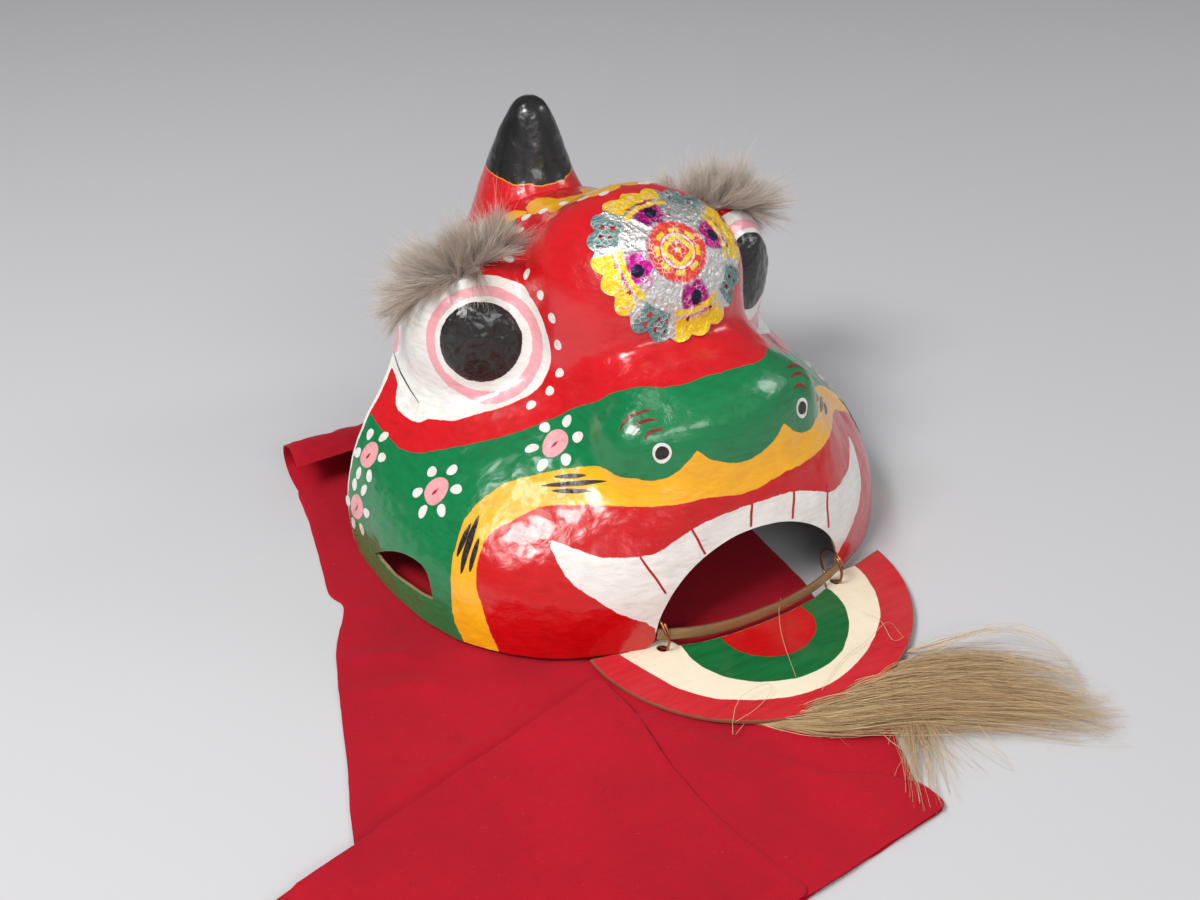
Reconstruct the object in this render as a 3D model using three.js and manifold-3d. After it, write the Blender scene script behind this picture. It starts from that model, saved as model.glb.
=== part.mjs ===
// Lion dance head: a papier mache mask with a horn, fur brows, a foil medallion,
// a jaw plate hung on two wire rings, a fibre beard and the dancer's cloth.
// Millimetres, +Z up, the lion looks along -Y, its middle plane is X = 0.
// The origin lies on the floor under the mouth, level with the rear tips of the jaw plate.

import * as THREE from "three";
import Module from "manifold-3d";
import { mergeVertices } from "three/addons/utils/BufferGeometryUtils.js";

const wasm = await Module();
wasm.setup();

// Driving dimensions

const GAP = 0.3;
const CLOTH_LAYER = 1.5;
const WIRE = 1.6;

const WALL = 3;
const BLEND = 8;
const EAR_Y = 160;
const RIM_REAR_Z = CLOTH_LAYER + GAP;
const RIM_FRONT_Z = 6;
const SIDE_LEAN = 111;
const CROWN_LEAN = 142;
const LEAN_POWER = 4.4;
const ACROSS = 42;
const ALONG = 22;

const PLATE_RADIUS = 100;
const PLATE_DEPTH = 105;
const PLATE_THICKNESS = 2;
const PLATE_UNDER = CLOTH_LAYER + GAP + WIRE + GAP;

const RING_RADIUS = 10.5;
const HINGE_Y = -14;
const HINGE_Z = CLOTH_LAYER + GAP + WIRE / 2 + RING_RADIUS;
const RING_X = 61;

const MOUTH_HALF = 65;
const MOUTH_TOP = 65;

const CANE_HEIGHT = 8;
const CANE_THICKNESS = 1.5;

// The mask's form: rounded masses that run into each other, a row for each mass

const MASSES = [
  { name: "cheeks", x: -11, y: 148, z: -1, rx: 165, ry: 166, rz: 106, square: 2.7, pair: false },
  { name: "skull", x: 0, y: 224, z: 66, rx: 118, ry: 92, rz: 81, square: 2.4, pair: false },
  { name: "crown", x: 0, y: 185, z: 104, rx: 74, ry: 94, rz: 80, square: 2.2, pair: false },
  { name: "forehead", x: 0, y: 118, z: 162, rx: 62, ry: 58, rz: 54, square: 2.2, pair: false },
  { name: "snout", x: 0, y: 62, z: 115, rx: 58, ry: 60, rz: 34, square: 2.4, pair: false },
  { name: "nostril", x: 44, y: 35, z: 110, rx: 23, ry: 21, rz: 22, square: 2.2, pair: true },
  { name: "lips", x: 4, y: 95, z: 55, rx: 81, ry: 100, rz: 62, square: 3, pair: false },
  { name: "eye", x: 82, y: 173, z: 131, rx: 41, ry: 42, rz: 44, square: 2.2, pair: true },
];

// Below 1 inside the mask, 1 on its skin, above 1 outside
function maskField(x, y, z) {
  let sum = 0;
  for (const mass of MASSES) {
    for (const side of mass.pair ? [-1, 1] : [1]) {
      const reach =
        Math.abs((x - side * mass.x) / mass.rx) ** mass.square +
        Math.abs((y - mass.y) / mass.ry) ** mass.square +
        Math.abs((z - mass.z) / mass.rz) ** mass.square;
      sum += Math.max(reach, 1e-9) ** (-BLEND / mass.square);
    }
  }
  return sum ** (-1 / BLEND);
}

function maskNormal(point) {
  const step = 0.05;
  return new THREE.Vector3(
    maskField(point.x + step, point.y, point.z) - maskField(point.x - step, point.y, point.z),
    maskField(point.x, point.y + step, point.z) - maskField(point.x, point.y - step, point.z),
    maskField(point.x, point.y, point.z + step) - maskField(point.x, point.y, point.z - step),
  ).normalize();
}

// The first skin point met when coming in from far away along a line
function skinAlong(centre, outward, far = 330) {
  const stepIn = 1.5;
  const at = (reach) => centre.clone().addScaledVector(outward, reach);
  const inside = (reach) => {
    const p = at(reach);
    return maskField(p.x, p.y, p.z) < 1;
  };
  let outer = far;
  while (outer > 0 && !inside(outer)) outer -= stepIn;
  let inner = outer;
  outer += stepIn;
  for (let halving = 0; halving < 24; halving += 1) {
    const middle = (inner + outer) / 2;
    if (inside(middle)) inner = middle;
    else outer = middle;
  }
  return at(inner);
}

const radians = (degrees) => (degrees * Math.PI) / 180;
const mix = (from, to, share) => from + (to - from) * share;
const v3 = (x, y, z) => new THREE.Vector3(x, y, z);

// Solids and their joins

function toManifold(geometry) {
  const bare = geometry.clone();
  bare.deleteAttribute("normal");
  bare.deleteAttribute("uv");
  const merged = mergeVertices(bare, 1e-4);
  const mesh = new wasm.Mesh({
    numProp: 3,
    vertProperties: new Float32Array(merged.attributes.position.array),
    triVerts: new Uint32Array(merged.index.array),
  });
  mesh.merge();
  return new wasm.Manifold(mesh);
}

function fromManifold(solid) {
  const mesh = solid.getMesh();
  const geometry = new THREE.BufferGeometry();
  geometry.setAttribute("position", new THREE.BufferAttribute(new Float32Array(mesh.vertProperties), 3));
  geometry.setIndex(new THREE.BufferAttribute(new Uint32Array(mesh.triVerts), 1));
  return geometry;
}

function join(geometries) {
  let whole = toManifold(geometries[0]);
  for (const geometry of geometries.slice(1)) whole = whole.add(toManifold(geometry));
  return fromManifold(whole);
}

function cut(geometry, cutters) {
  let rest = toManifold(geometry);
  for (const cutter of cutters) rest = rest.subtract(toManifold(cutter));
  return fromManifold(rest);
}

function placed(geometry, x, y, z) {
  return geometry.clone().translate(x, y, z);
}

// A closed body through rings of points, each ring with as many points as the next
function loft(rings) {
  const count = rings[0].length;
  const positions = [];
  const index = [];
  for (const ring of rings) for (const p of ring) positions.push(p.x, p.y, p.z);
  const at = (ring, spot) => ring * count + (spot % count);
  for (let ring = 0; ring + 1 < rings.length; ring += 1) {
    for (let spot = 0; spot < count; spot += 1) {
      index.push(at(ring, spot), at(ring, spot + 1), at(ring + 1, spot + 1));
      index.push(at(ring, spot), at(ring + 1, spot + 1), at(ring + 1, spot));
    }
  }
  const last = rings.length - 1;
  for (let spot = 1; spot + 1 < count; spot += 1) {
    index.push(at(0, 0), at(0, spot + 1), at(0, spot));
    index.push(at(last, 0), at(last, spot), at(last, spot + 1));
  }
  return outward(positions, index);
}

function outward(positions, index) {
  const geometry = new THREE.BufferGeometry();
  geometry.setAttribute("position", new THREE.Float32BufferAttribute(positions, 3));
  let volume = 0;
  const corner = (spot) => v3(...positions.slice(3 * index[spot], 3 * index[spot] + 3));
  for (let spot = 0; spot < index.length; spot += 3) {
    volume += corner(spot).dot(corner(spot + 1).cross(corner(spot + 2)));
  }
  if (volume < 0) index.reverse();
  geometry.setIndex(index);
  return geometry;
}

// A plate between two grids of points, closed round its edge
function slab(outer, inner) {
  const rows = outer.length;
  const columns = outer[0].length;
  const positions = [];
  const index = [];
  for (const grid of [outer, inner]) for (const row of grid) for (const p of row) positions.push(p.x, p.y, p.z);
  const far = (row, column) => row * columns + column;
  const near = (row, column) => rows * columns + far(row, column);
  for (let row = 0; row + 1 < rows; row += 1) {
    for (let column = 0; column + 1 < columns; column += 1) {
      index.push(far(row, column), far(row, column + 1), far(row + 1, column + 1));
      index.push(far(row, column), far(row + 1, column + 1), far(row + 1, column));
      index.push(near(row, column), near(row + 1, column + 1), near(row, column + 1));
      index.push(near(row, column), near(row + 1, column), near(row + 1, column + 1));
    }
  }
  const edge = [];
  for (let column = 0; column < columns - 1; column += 1) edge.push([0, column]);
  for (let row = 0; row < rows - 1; row += 1) edge.push([row, columns - 1]);
  for (let column = columns - 1; column > 0; column -= 1) edge.push([rows - 1, column]);
  for (let row = rows - 1; row > 0; row -= 1) edge.push([row, 0]);
  edge.forEach((here, spot) => {
    const next = edge[(spot + 1) % edge.length];
    index.push(far(...here), near(...next), far(...next));
    index.push(far(...here), near(...here), near(...next));
  });
  return outward(positions, index);
}

// Mask shell

const EAR_POINT = v3(0, EAR_Y, RIM_REAR_Z);
const RIM_TILT = (Math.atan2(RIM_FRONT_Z - RIM_REAR_Z, EAR_Y + 20) * 180) / Math.PI;

// Directions fan out from the ear line: across from side to side, up from the rim to the rear edge
function fanDirection(across, up) {
  const turn = radians(90 * across);
  const lean = mix(SIDE_LEAN, CROWN_LEAN, Math.cos(turn) ** LEAN_POWER);
  const rise = radians(mix(RIM_TILT, lean, up));
  return v3(Math.sin(turn), -Math.cos(turn) * Math.cos(rise), Math.cos(turn) * Math.sin(rise));
}

function skinGrid(offset) {
  const grid = [];
  for (let row = 0; row <= ALONG; row += 1) {
    const line = [];
    for (let column = 0; column <= ACROSS; column += 1) {
      const across = 0.985 * (-1 + (2 * column) / ACROSS);
      const direction = fanDirection(across, row / ALONG);
      const skin = skinAlong(EAR_POINT, direction);
      const normal = maskNormal(skin);
      if (row === 0) normal.z = 0;
      line.push(skin.addScaledVector(normal.normalize(), offset));
    }
    grid.push(line);
  }
  return grid;
}

function extrudedAlongY(shape, from, to) {
  const geometry = new THREE.ExtrudeGeometry(shape, { depth: to - from, bevelEnabled: false, curveSegments: 20 });
  return geometry.rotateX(Math.PI / 2).translate(0, to, 0);
}

// The mouth: an arch with flared feet that clear the jaw as it swings
function mouthCutter() {
  const foot = 4.5;
  const shape = new THREE.Shape();
  shape.moveTo(-MOUTH_HALF - foot, -10);
  shape.lineTo(-MOUTH_HALF - foot, RIM_FRONT_Z + 0.5);
  shape.lineTo(-MOUTH_HALF, RIM_FRONT_Z + foot);
  for (let step = 1; step < 20; step += 1) {
    const turn = Math.PI * (1 - step / 20);
    const rise = RIM_FRONT_Z + foot + (MOUTH_TOP - RIM_FRONT_Z - foot) * Math.sin(turn);
    shape.lineTo(MOUTH_HALF * Math.cos(turn), rise);
  }
  shape.lineTo(MOUTH_HALF, RIM_FRONT_Z + foot);
  shape.lineTo(MOUTH_HALF + foot, RIM_FRONT_Z + 0.5);
  shape.lineTo(MOUTH_HALF + foot, -10);
  return extrudedAlongY(shape, -60, 45);
}

// Side slots: cut through the cheeks where a hand goes in, flat below and arched above

const SLOT = { rearY: 128, rearZ: 17, topY: 88, topZ: 47, frontY: 64, frontZ: 22, lowZ: 17 };

function slotCutter(side) {
  const shape = new THREE.Shape();
  shape.moveTo(SLOT.rearY, SLOT.rearZ);
  shape.quadraticCurveTo((SLOT.rearY + SLOT.frontY) / 2, SLOT.lowZ, SLOT.frontY, SLOT.frontZ);
  shape.quadraticCurveTo(SLOT.topY - 20, SLOT.topZ - 4, SLOT.topY, SLOT.topZ - 8);
  shape.quadraticCurveTo(SLOT.topY + 16, SLOT.topZ - 10, SLOT.rearY, SLOT.rearZ);
  const depth = 90;
  const geometry = new THREE.ExtrudeGeometry(shape, { depth, bevelEnabled: false, curveSegments: 6 });
  geometry.applyMatrix4(new THREE.Matrix4().set(0, 0, 1, 0, 1, 0, 0, 0, 0, 1, 0, 0, 0, 0, 0, 1));
  return geometry.translate(side > 0 ? 110 : -110 - depth, 0, 0);
}

function maskShell() {
  const shell = slab(skinGrid(0), skinGrid(-WALL));
  return cut(shell, [mouthCutter(), slotCutter(-1), slotCutter(1)]);
}

// Everything inside the skin, grown by the gap: what stands on the mask is cut by it
function maskSeat() {
  const skin = skinGrid(GAP);
  const core = skin.map((row) => row.map((p) => EAR_POINT.clone().lerp(p, 0.5)));
  return slab(skin, core);
}

// Horn

const HORN = { tipY: 252, tipZ: 231, baseY: 262, baseZ: 112, wall: 3 };
const HORN_PROFILE = [
  { height: 0, radius: 42 },
  { height: 30, radius: 38 },
  { height: 58, radius: 31 },
  { height: 85, radius: 22.5 },
  { height: 105, radius: 15.5 },
  { height: 115, radius: 11 },
  { height: 119, radius: 6 },
];

function horn() {
  const outline = HORN_PROFILE.map((row) => new THREE.Vector2(row.radius, row.height));
  const tip = HORN_PROFILE[HORN_PROFILE.length - 1].height + 1.5;
  const inner = HORN_PROFILE.slice(0, -2).map((row) => new THREE.Vector2(row.radius - HORN.wall, row.height));
  const innerTip = HORN_PROFILE[HORN_PROFILE.length - 3].height + 2;
  const profile = [new THREE.Vector2(0, innerTip), ...inner.reverse(), ...outline, new THREE.Vector2(0, tip)];
  const body = new THREE.LatheGeometry(profile, 24);
  body.rotateX(Math.PI / 2);
  const lean = Math.atan2(HORN.baseY - HORN.tipY, HORN.tipZ - HORN.baseZ);
  body.rotateX(lean);
  body.translate(0, HORN.baseY, HORN.baseZ);
  return cut(body, [maskSeat()]);
}

// Brows: a fur strip with locks that stand up and out, fused to a leather backing

const BROW_LINE = [
  { x: 56, y: 178, z: 174, length: 26 },
  { x: 78, y: 164, z: 178, length: 32 },
  { x: 98, y: 160, z: 174, length: 34 },
  { x: 114, y: 168, z: 164, length: 32 },
  { x: 124, y: 190, z: 146, length: 26 },
];

function browCurve(side) {
  const points = BROW_LINE.map((row) => {
    const outwardLine = v3(side * row.x, row.y - EAR_Y, row.z - RIM_REAR_Z).normalize();
    return skinAlong(EAR_POINT, outwardLine);
  });
  return new THREE.CatmullRomCurve3(points);
}

function lock(root, direction, length, width, bend) {
  const rings = [];
  const sides = 4;
  const steps = 3;
  const across = direction.clone().cross(bend).normalize();
  const over = across.clone().cross(direction).normalize();
  for (let step = 0; step <= steps; step += 1) {
    const share = step / steps;
    const centre = root.clone().addScaledVector(direction, length * share);
    centre.addScaledVector(bend, length * share * share);
    const radius = width * (1 - share) ** 0.7 * 0.5 + 0.35;
    const ring = [];
    for (let spot = 0; spot < sides; spot += 1) {
      const turn = (2 * Math.PI * spot) / sides;
      const p = centre.clone().addScaledVector(across, radius * Math.cos(turn));
      ring.push(p.addScaledVector(over, radius * 0.7 * Math.sin(turn)));
    }
    rings.push(ring);
  }
  return loft(rings);
}

function brow(side) {
  const curve = browCurve(side);
  const count = 10;
  const backing = [];
  const locks = [];
  const strip = 9;
  for (let step = 0; step <= count; step += 1) {
    const share = step / count;
    const root = curve.getPoint(share);
    const normal = maskNormal(root);
    const along = curve.getTangent(share);
    const up = normal.clone().cross(along).multiplyScalar(side).normalize();
    const taper = 0.45 + 0.55 * Math.sin(Math.PI * share) ** 0.5;
    const corner = (rise, lift) =>
      root.clone().addScaledVector(up, rise * strip * taper).addScaledVector(normal, lift);
    backing.push([corner(-0.5, 0.2), corner(0.5, 0.2), corner(0.45, 4 * taper + 2), corner(-0.45, 4 * taper + 2)]);
    if (step === count) continue;
    const middle = (step + 0.5) / count;
    const foot = curve.getPoint(middle);
    const out = maskNormal(foot);
    const sweep = curve.getTangent(middle);
    const tilt = (step % 3) - 1;
    const row = Math.min(Math.floor(middle * BROW_LINE.length), BROW_LINE.length - 1);
    const length = BROW_LINE[row].length;
    const direction = out.clone().multiplyScalar(0.55);
    direction.addScaledVector(up, 0.75).addScaledVector(sweep, 0.15 + 0.18 * tilt).normalize();
    const bend = sweep.clone().multiplyScalar(0.22).addScaledVector(out, 0.1);
    locks.push(lock(foot.clone().addScaledVector(out, 2), direction, length, 13, bend));
  }
  return cut(join([loft(backing), ...locks]), [maskSeat()]);
}

// Medallion: a scalloped disc of embossed foil, pierced near its edge

const MEDALLION = { y: 70, z: 203, radius: 44, thickness: 1, rise: 0.8, tilt: 45, scallops: 12, holes: 12 };

// Height of the embossing over the foil at a share of the radius and an angle
function embossing(share, turn) {
  const boss = 2.2 * Math.exp(-(((share - 0.12) / 0.2) ** 2));
  const ridge = 1.4 * Math.exp(-(((share - 0.52) / 0.06) ** 2));
  const petals = 1.8 * Math.exp(-(((share - 0.76) / 0.12) ** 2)) * Math.max(0, Math.cos(6 * turn)) ** 0.7;
  return boss + ridge + petals;
}

function medallion() {
  const spokes = 36;
  const rings = 7;
  const tilt = radians(MEDALLION.tilt);
  const facing = v3(0, -Math.cos(tilt), Math.sin(tilt));
  const upward = v3(0, Math.sin(tilt), Math.cos(tilt));
  const centre = v3(0, MEDALLION.y, MEDALLION.z);
  const onSkin = (share, turn, lift) => {
    const reach = MEDALLION.radius * share * (1 + 0.06 * share * Math.cos(MEDALLION.scallops * turn));
    const start = centre.clone();
    start.x += reach * Math.cos(turn);
    start.addScaledVector(upward, reach * Math.sin(turn)).addScaledVector(facing, -60);
    const skin = skinAlong(start, facing, 120);
    return skin.addScaledVector(maskNormal(skin), lift);
  };
  const positions = [];
  const index = [];
  for (const face of [0, 1]) {
    for (let ring = 0; ring <= rings; ring += 1) {
      for (let spoke = 0; spoke < spokes; spoke += 1) {
        const share = 0.04 + (0.96 * ring) / rings;
        const turn = (2 * Math.PI * spoke) / spokes;
        const lift = MEDALLION.rise + face * (MEDALLION.thickness + embossing(share, turn));
        const p = onSkin(share, turn, lift);
        positions.push(p.x, p.y, p.z);
      }
    }
  }
  const at = (face, ring, spoke) => (face * (rings + 1) + ring) * spokes + (spoke % spokes);
  for (let spoke = 0; spoke < spokes; spoke += 1) {
    for (let ring = 0; ring < rings; ring += 1) {
      for (const face of [0, 1]) {
        const quad = [at(face, ring, spoke), at(face, ring + 1, spoke)];
        quad.push(at(face, ring + 1, spoke + 1), at(face, ring, spoke + 1));
        if (face === 0) quad.reverse();
        index.push(quad[0], quad[1], quad[2], quad[0], quad[2], quad[3]);
      }
    }
    const rim = [at(0, rings, spoke), at(0, rings, spoke + 1), at(1, rings, spoke + 1), at(1, rings, spoke)];
    index.push(rim[0], rim[1], rim[2], rim[0], rim[2], rim[3]);
  }
  for (const face of [0, 1]) {
    for (let spoke = 1; spoke + 1 < spokes; spoke += 1) {
      const fan = [at(face, 0, 0), at(face, 0, spoke), at(face, 0, spoke + 1)];
      if (face === 0) fan.reverse();
      index.push(...fan);
    }
  }
  const cutters = [];
  for (let hole = 0; hole < MEDALLION.holes; hole += 1) {
    const turn = (2 * Math.PI * (hole + 0.5)) / MEDALLION.holes;
    const spot = onSkin(0.87, turn, 0);
    const punch = new THREE.CylinderGeometry(2.2, 2.2, 16, 6);
    punch.applyQuaternion(new THREE.Quaternion().setFromUnitVectors(v3(0, 1, 0), maskNormal(spot)));
    cutters.push(placed(punch, spot.x, spot.y, spot.z));
  }
  return cut(outward(positions, index), [maskSeat(), ...cutters]);
}

// Cane: the rim hoop where it crosses the open mouth, bowed forward

const CANE_LINE = [
  { x: 0, y: -26.6, z: 10.4 },
  { x: 20, y: -26, z: 10.6 },
  { x: 40, y: -23.4, z: 12 },
  { x: 54, y: -20, z: 13.6 },
  { x: 63.5, y: -16.6, z: 14.6 },
];

function cane() {
  const half = CANE_LINE.map((row) => v3(row.x, row.y, row.z));
  const other = half.slice(1).map((p) => v3(-p.x, p.y, p.z)).reverse();
  const curve = new THREE.CatmullRomCurve3([...other, ...half]);
  const rings = [];
  const steps = 24;
  for (let step = 0; step <= steps; step += 1) {
    const centre = curve.getPoint(step / steps);
    const along = curve.getTangent(step / steps);
    const across = v3(-along.y, along.x, 0).normalize().multiplyScalar(CANE_THICKNESS / 2);
    const rise = v3(0, 0, CANE_HEIGHT / 2);
    rings.push([
      centre.clone().add(across).add(rise),
      centre.clone().sub(across).add(rise),
      centre.clone().sub(across).sub(rise),
      centre.clone().add(across).sub(rise),
    ]);
  }
  return loft(rings);
}

// Wire rings: the jaw's hinges, round the cane and through the plate

const RING_STEPS = 20;

function wireRing() {
  return new THREE.TorusGeometry(RING_RADIUS, WIRE / 2, 6, RING_STEPS).rotateY(Math.PI / 2);
}

// Jaw plate: a thin half disc whose rear edge runs clear of the cane as it swings up

// The room that the wire needs in the plate, ahead of the hinge line, at every angle of the jaw.
// The tab behind the hole fits inside the ring, so its corners stay within the wire's inner reach.
const TURNING_GAP = 0.1;
const CROSSING = wireCrossing();

function wireCrossing() {
  const outer = RING_RADIUS + WIRE / 2 + GAP;
  const inner = (RING_RADIUS - WIRE / 2) * Math.cos(Math.PI / RING_STEPS) - TURNING_GAP;
  const ahead = (reach, drop) => Math.sqrt(reach ** 2 - drop ** 2);
  return {
    front: ahead(outer, HINGE_Z - PLATE_UNDER - PLATE_THICKNESS),
    back: ahead(inner, HINGE_Z - PLATE_UNDER),
  };
}

const TAB_REAR_Y = HINGE_Y + CROSSING.back;
const HOLE_Y = HINGE_Y - (CROSSING.front + CROSSING.back) / 2;
const HOLE_RADIUS = (CROSSING.front - CROSSING.back) / 2;

const PLATE_REAR = [
  { x: 102, y: -7.7 },
  { x: 80, y: TAB_REAR_Y },
  { x: 56, y: TAB_REAR_Y },
  { x: 52, y: -22 },
  { x: 40, y: -26 },
  { x: 20, y: -28.6 },
  { x: 0, y: -29.2 },
];

function plateOutline() {
  const shape = new THREE.Shape();
  shape.moveTo(PLATE_REAR[0].x, PLATE_REAR[0].y);
  for (const row of PLATE_REAR.slice(1)) shape.lineTo(row.x, row.y);
  for (const row of PLATE_REAR.slice(0, -1).reverse()) shape.lineTo(-row.x, row.y);
  const steps = 28;
  for (let step = 1; step < steps; step += 1) {
    const turn = Math.PI * (1 + step / steps);
    shape.lineTo(PLATE_REAR[0].x * Math.cos(turn), -8 + (PLATE_DEPTH - 8) * Math.sin(turn));
  }
  return shape;
}

function jawPlate() {
  const shape = plateOutline();
  for (const side of [-1, 1]) {
    const hole = new THREE.Path();
    hole.absarc(side * RING_X, HOLE_Y, HOLE_RADIUS, 0, 2 * Math.PI, true);
    shape.holes.push(hole);
  }
  const plate = new THREE.ExtrudeGeometry(shape, { depth: PLATE_THICKNESS, bevelEnabled: false, curveSegments: 8 });
  return plate.translate(0, 0, PLATE_UNDER);
}

// The room the plate needs, which the fibres keep out of
function plateRoom() {
  const grow = 1 + GAP / PLATE_RADIUS;
  const room = new THREE.ExtrudeGeometry(plateOutline(), { depth: 30, bevelEnabled: false });
  return room.scale(grow, grow, 1).translate(0, 0, PLATE_UNDER - GAP);
}

// Beard: fibre locks fused to the bundle glued under the plate's front edge

const BEARD_ROOT_HEIGHT = PLATE_UNDER - CLOTH_LAYER - 2 * GAP;
const BEARD = [
  { rootX: -10, rootY: -99, heading: -20, length: 110, width: 8 },
  { rootX: 6, rootY: -101, heading: -30, length: 130, width: 10 },
  { rootX: 20, rootY: -100, heading: -35, length: 138, width: 12 },
  { rootX: 32, rootY: -97, heading: -42, length: 120, width: 12 },
  { rootX: 42, rootY: -93, heading: -52, length: 104, width: 12 },
  { rootX: 50, rootY: -89, heading: -34, length: 98, width: 11 },
  { rootX: 58, rootY: -85, heading: -22, length: 90, width: 10 },
  { rootX: 64, rootY: -80, heading: -60, length: 94, width: 9 },
  { rootX: 52, rootY: -88, heading: -118, length: 102, width: 9 },
];

function beard() {
  const bundle = [];
  for (const row of BEARD.slice(0, -1)) {
    const inward = v3(row.rootX, row.rootY, 0).normalize();
    const corner = (reach, z) => v3(row.rootX, row.rootY, 0).addScaledVector(inward, reach).setZ(z);
    const under = CLOTH_LAYER + GAP;
    bundle.push([
      corner(-14, under),
      corner(2, under),
      corner(2, under + BEARD_ROOT_HEIGHT),
      corner(-14, under + BEARD_ROOT_HEIGHT),
    ]);
  }
  const locks = BEARD.map((row, spot) => {
    const heading = radians(row.heading);
    const rings = [];
    const steps = 4;
    const low = CLOTH_LAYER * 2 + GAP;
    for (let step = 0; step <= steps; step += 1) {
      const share = step / steps;
      const reach = row.length * share;
      const drift = 0.12 * row.length * Math.sin(Math.PI * share) * (spot % 2 ? 1 : -1) * 0.4;
      const centre = v3(row.rootX, row.rootY, 0);
      centre.x += reach * Math.cos(heading) - drift * Math.sin(heading);
      centre.y += reach * Math.sin(heading) + drift * Math.cos(heading);
      const half = (row.width / 2) * (0.6 + 0.8 * Math.sin(Math.PI * Math.min(share * 1.1, 1))) * (1 - 0.75 * share);
      const tall = mix(BEARD_ROOT_HEIGHT, 9, Math.min(share * 3, 1)) * (1 - 0.7 * Math.max(share - 0.4, 0));
      const foot = mix(CLOTH_LAYER + GAP, low, Math.min(share * 4, 1));
      const side = v3(-Math.sin(heading), Math.cos(heading), 0).multiplyScalar(half + 0.6);
      rings.push([
        centre.clone().add(side).setZ(foot),
        centre.clone().sub(side).setZ(foot),
        centre.clone().addScaledVector(side, -0.5).setZ(foot + tall),
        centre.clone().addScaledVector(side, 0.5).setZ(foot + tall),
      ]);
    }
    return loft(rings);
  });
  return cut(join([loft(bundle), ...locks]), [plateRoom()]);
}

// Cloth: cotton that lies under the head, folded over in front of it and curled up behind it

const CLOTH_UNDER = [
  { x: -187, y: 250 },
  { x: 46, y: 250 },
  { x: 50, y: 60 },
  { x: 48, y: -6 },
  { x: 15, y: -126 },
  { x: 0, y: -166 },
  { x: 3, y: -187 },
  { x: -89, y: -197 },
  { x: -258, y: -215 },
  { x: -266, y: -68 },
  { x: -242, y: 8 },
  { x: -223, y: 72 },
  { x: -202, y: 111 },
  { x: -208, y: 122 },
  { x: -196, y: 181 },
];

const CLOTH_OVER = [
  { x: -107, y: -25 },
  { x: -104, y: -54 },
  { x: -73, y: -92 },
  { x: -52, y: -121 },
  { x: -38, y: -141 },
  { x: -16, y: -154 },
  { x: 0, y: -167 },
  { x: 3, y: -187 },
  { x: -89, y: -197 },
  { x: -290, y: -219 },
  { x: -315, y: -81 },
];

const CLOTH_TOP = [
  { x: -107, y: -25 },
  { x: -103, y: -60 },
  { x: -105, y: -123 },
  { x: -101, y: -153 },
  { x: -90, y: -197 },
  { x: -290, y: -219 },
  { x: -315, y: -81 },
];

// The curl behind the head, from the table up and over towards the front
const CURL = [
  { y: 236, z: 0 },
  { y: 252, z: 3 },
  { y: 259, z: 12 },
  { y: 257, z: 23 },
  { y: 248, z: 29 },
  { y: 238, z: 28 },
  { y: 230, z: 23 },
];
const CURL_FROM_X = -187;
const CURL_TO_X = 46;
const CURL_LOW_SHARE = 0.35;

function extruded(rows, from, to) {
  const shape = new THREE.Shape(rows.map((row) => new THREE.Vector2(row.x, row.y)));
  const geometry = new THREE.ExtrudeGeometry(shape, { depth: to - from, bevelEnabled: false });
  return geometry.translate(0, 0, from);
}

// A wall one layer thick that follows the curl, lower and lower towards its right end
function clothCurl() {
  const line = new THREE.SplineCurve(CURL.map((row) => new THREE.Vector2(row.y, row.z)));
  const steps = 10;
  const outer = [];
  const inner = [];
  for (let step = 0; step <= steps; step += 1) {
    const middle = line.getPoint(step / steps);
    const along = line.getTangent(step / steps);
    const half = CLOTH_LAYER / 2;
    outer.push(new THREE.Vector2(middle.x + along.y * half, middle.y - along.x * half + half));
    inner.push(new THREE.Vector2(middle.x - along.y * half, middle.y + along.x * half + half));
  }
  const depth = CURL_TO_X - CURL_FROM_X;
  const shape = new THREE.Shape([...outer, ...inner.reverse()]);
  const wall = new THREE.ExtrudeGeometry(shape, { depth, steps: 4, bevelEnabled: false });
  wall.applyMatrix4(new THREE.Matrix4().set(0, 0, 1, 0, 1, 0, 0, 0, 0, 1, 0, 0, 0, 0, 0, 1));
  wall.translate(CURL_FROM_X, 0, 0);
  const place = wall.attributes.position;
  for (let spot = 0; spot < place.count; spot += 1) {
    const share = (place.getX(spot) - CURL_FROM_X) / depth;
    const height = Math.max(place.getZ(spot), 0);
    const kept = Math.min(height, CLOTH_LAYER);
    place.setZ(spot, kept + (height - kept) * mix(1, CURL_LOW_SHARE, share ** 2));
  }
  return wall;
}

function cloth() {
  const sink = CLOTH_LAYER / 2;
  const under = extruded(CLOTH_UNDER, 0, CLOTH_LAYER);
  const over = extruded(CLOTH_OVER, CLOTH_LAYER - sink, 2 * CLOTH_LAYER);
  const top = extruded(CLOTH_TOP, 2 * CLOTH_LAYER - sink, 3 * CLOTH_LAYER);
  return join([under, over, top, clothCurl()]);
}

// Materials

function finish(color, roughness, metalness = 0) {
  return new THREE.MeshStandardMaterial({ color, roughness, metalness, side: THREE.DoubleSide });
}

const RED_PAINT = finish(0xb5121b, 0.3);
const BLACK_PAINT = finish(0x141416, 0.3);
const FUR = finish(0x8f8377, 0.95);
const FOIL = finish(0xc9c9cc, 0.25, 0.9);
const CANE_WOOD = finish(0xa07c4c, 0.55);
const COPPER = finish(0x9a6134, 0.35, 1);
const BOARD = finish(0xa3171d, 0.6);
const FIBRE = finish(0xc9a873, 0.85);
const COTTON = finish(0xa80f24, 0.9);

function piece(name, geometry, material, x = 0, y = 0, z = 0) {
  const mesh = new THREE.Mesh(geometry, material);
  mesh.name = name;
  mesh.position.set(x, y, z);
  return mesh;
}

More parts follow.
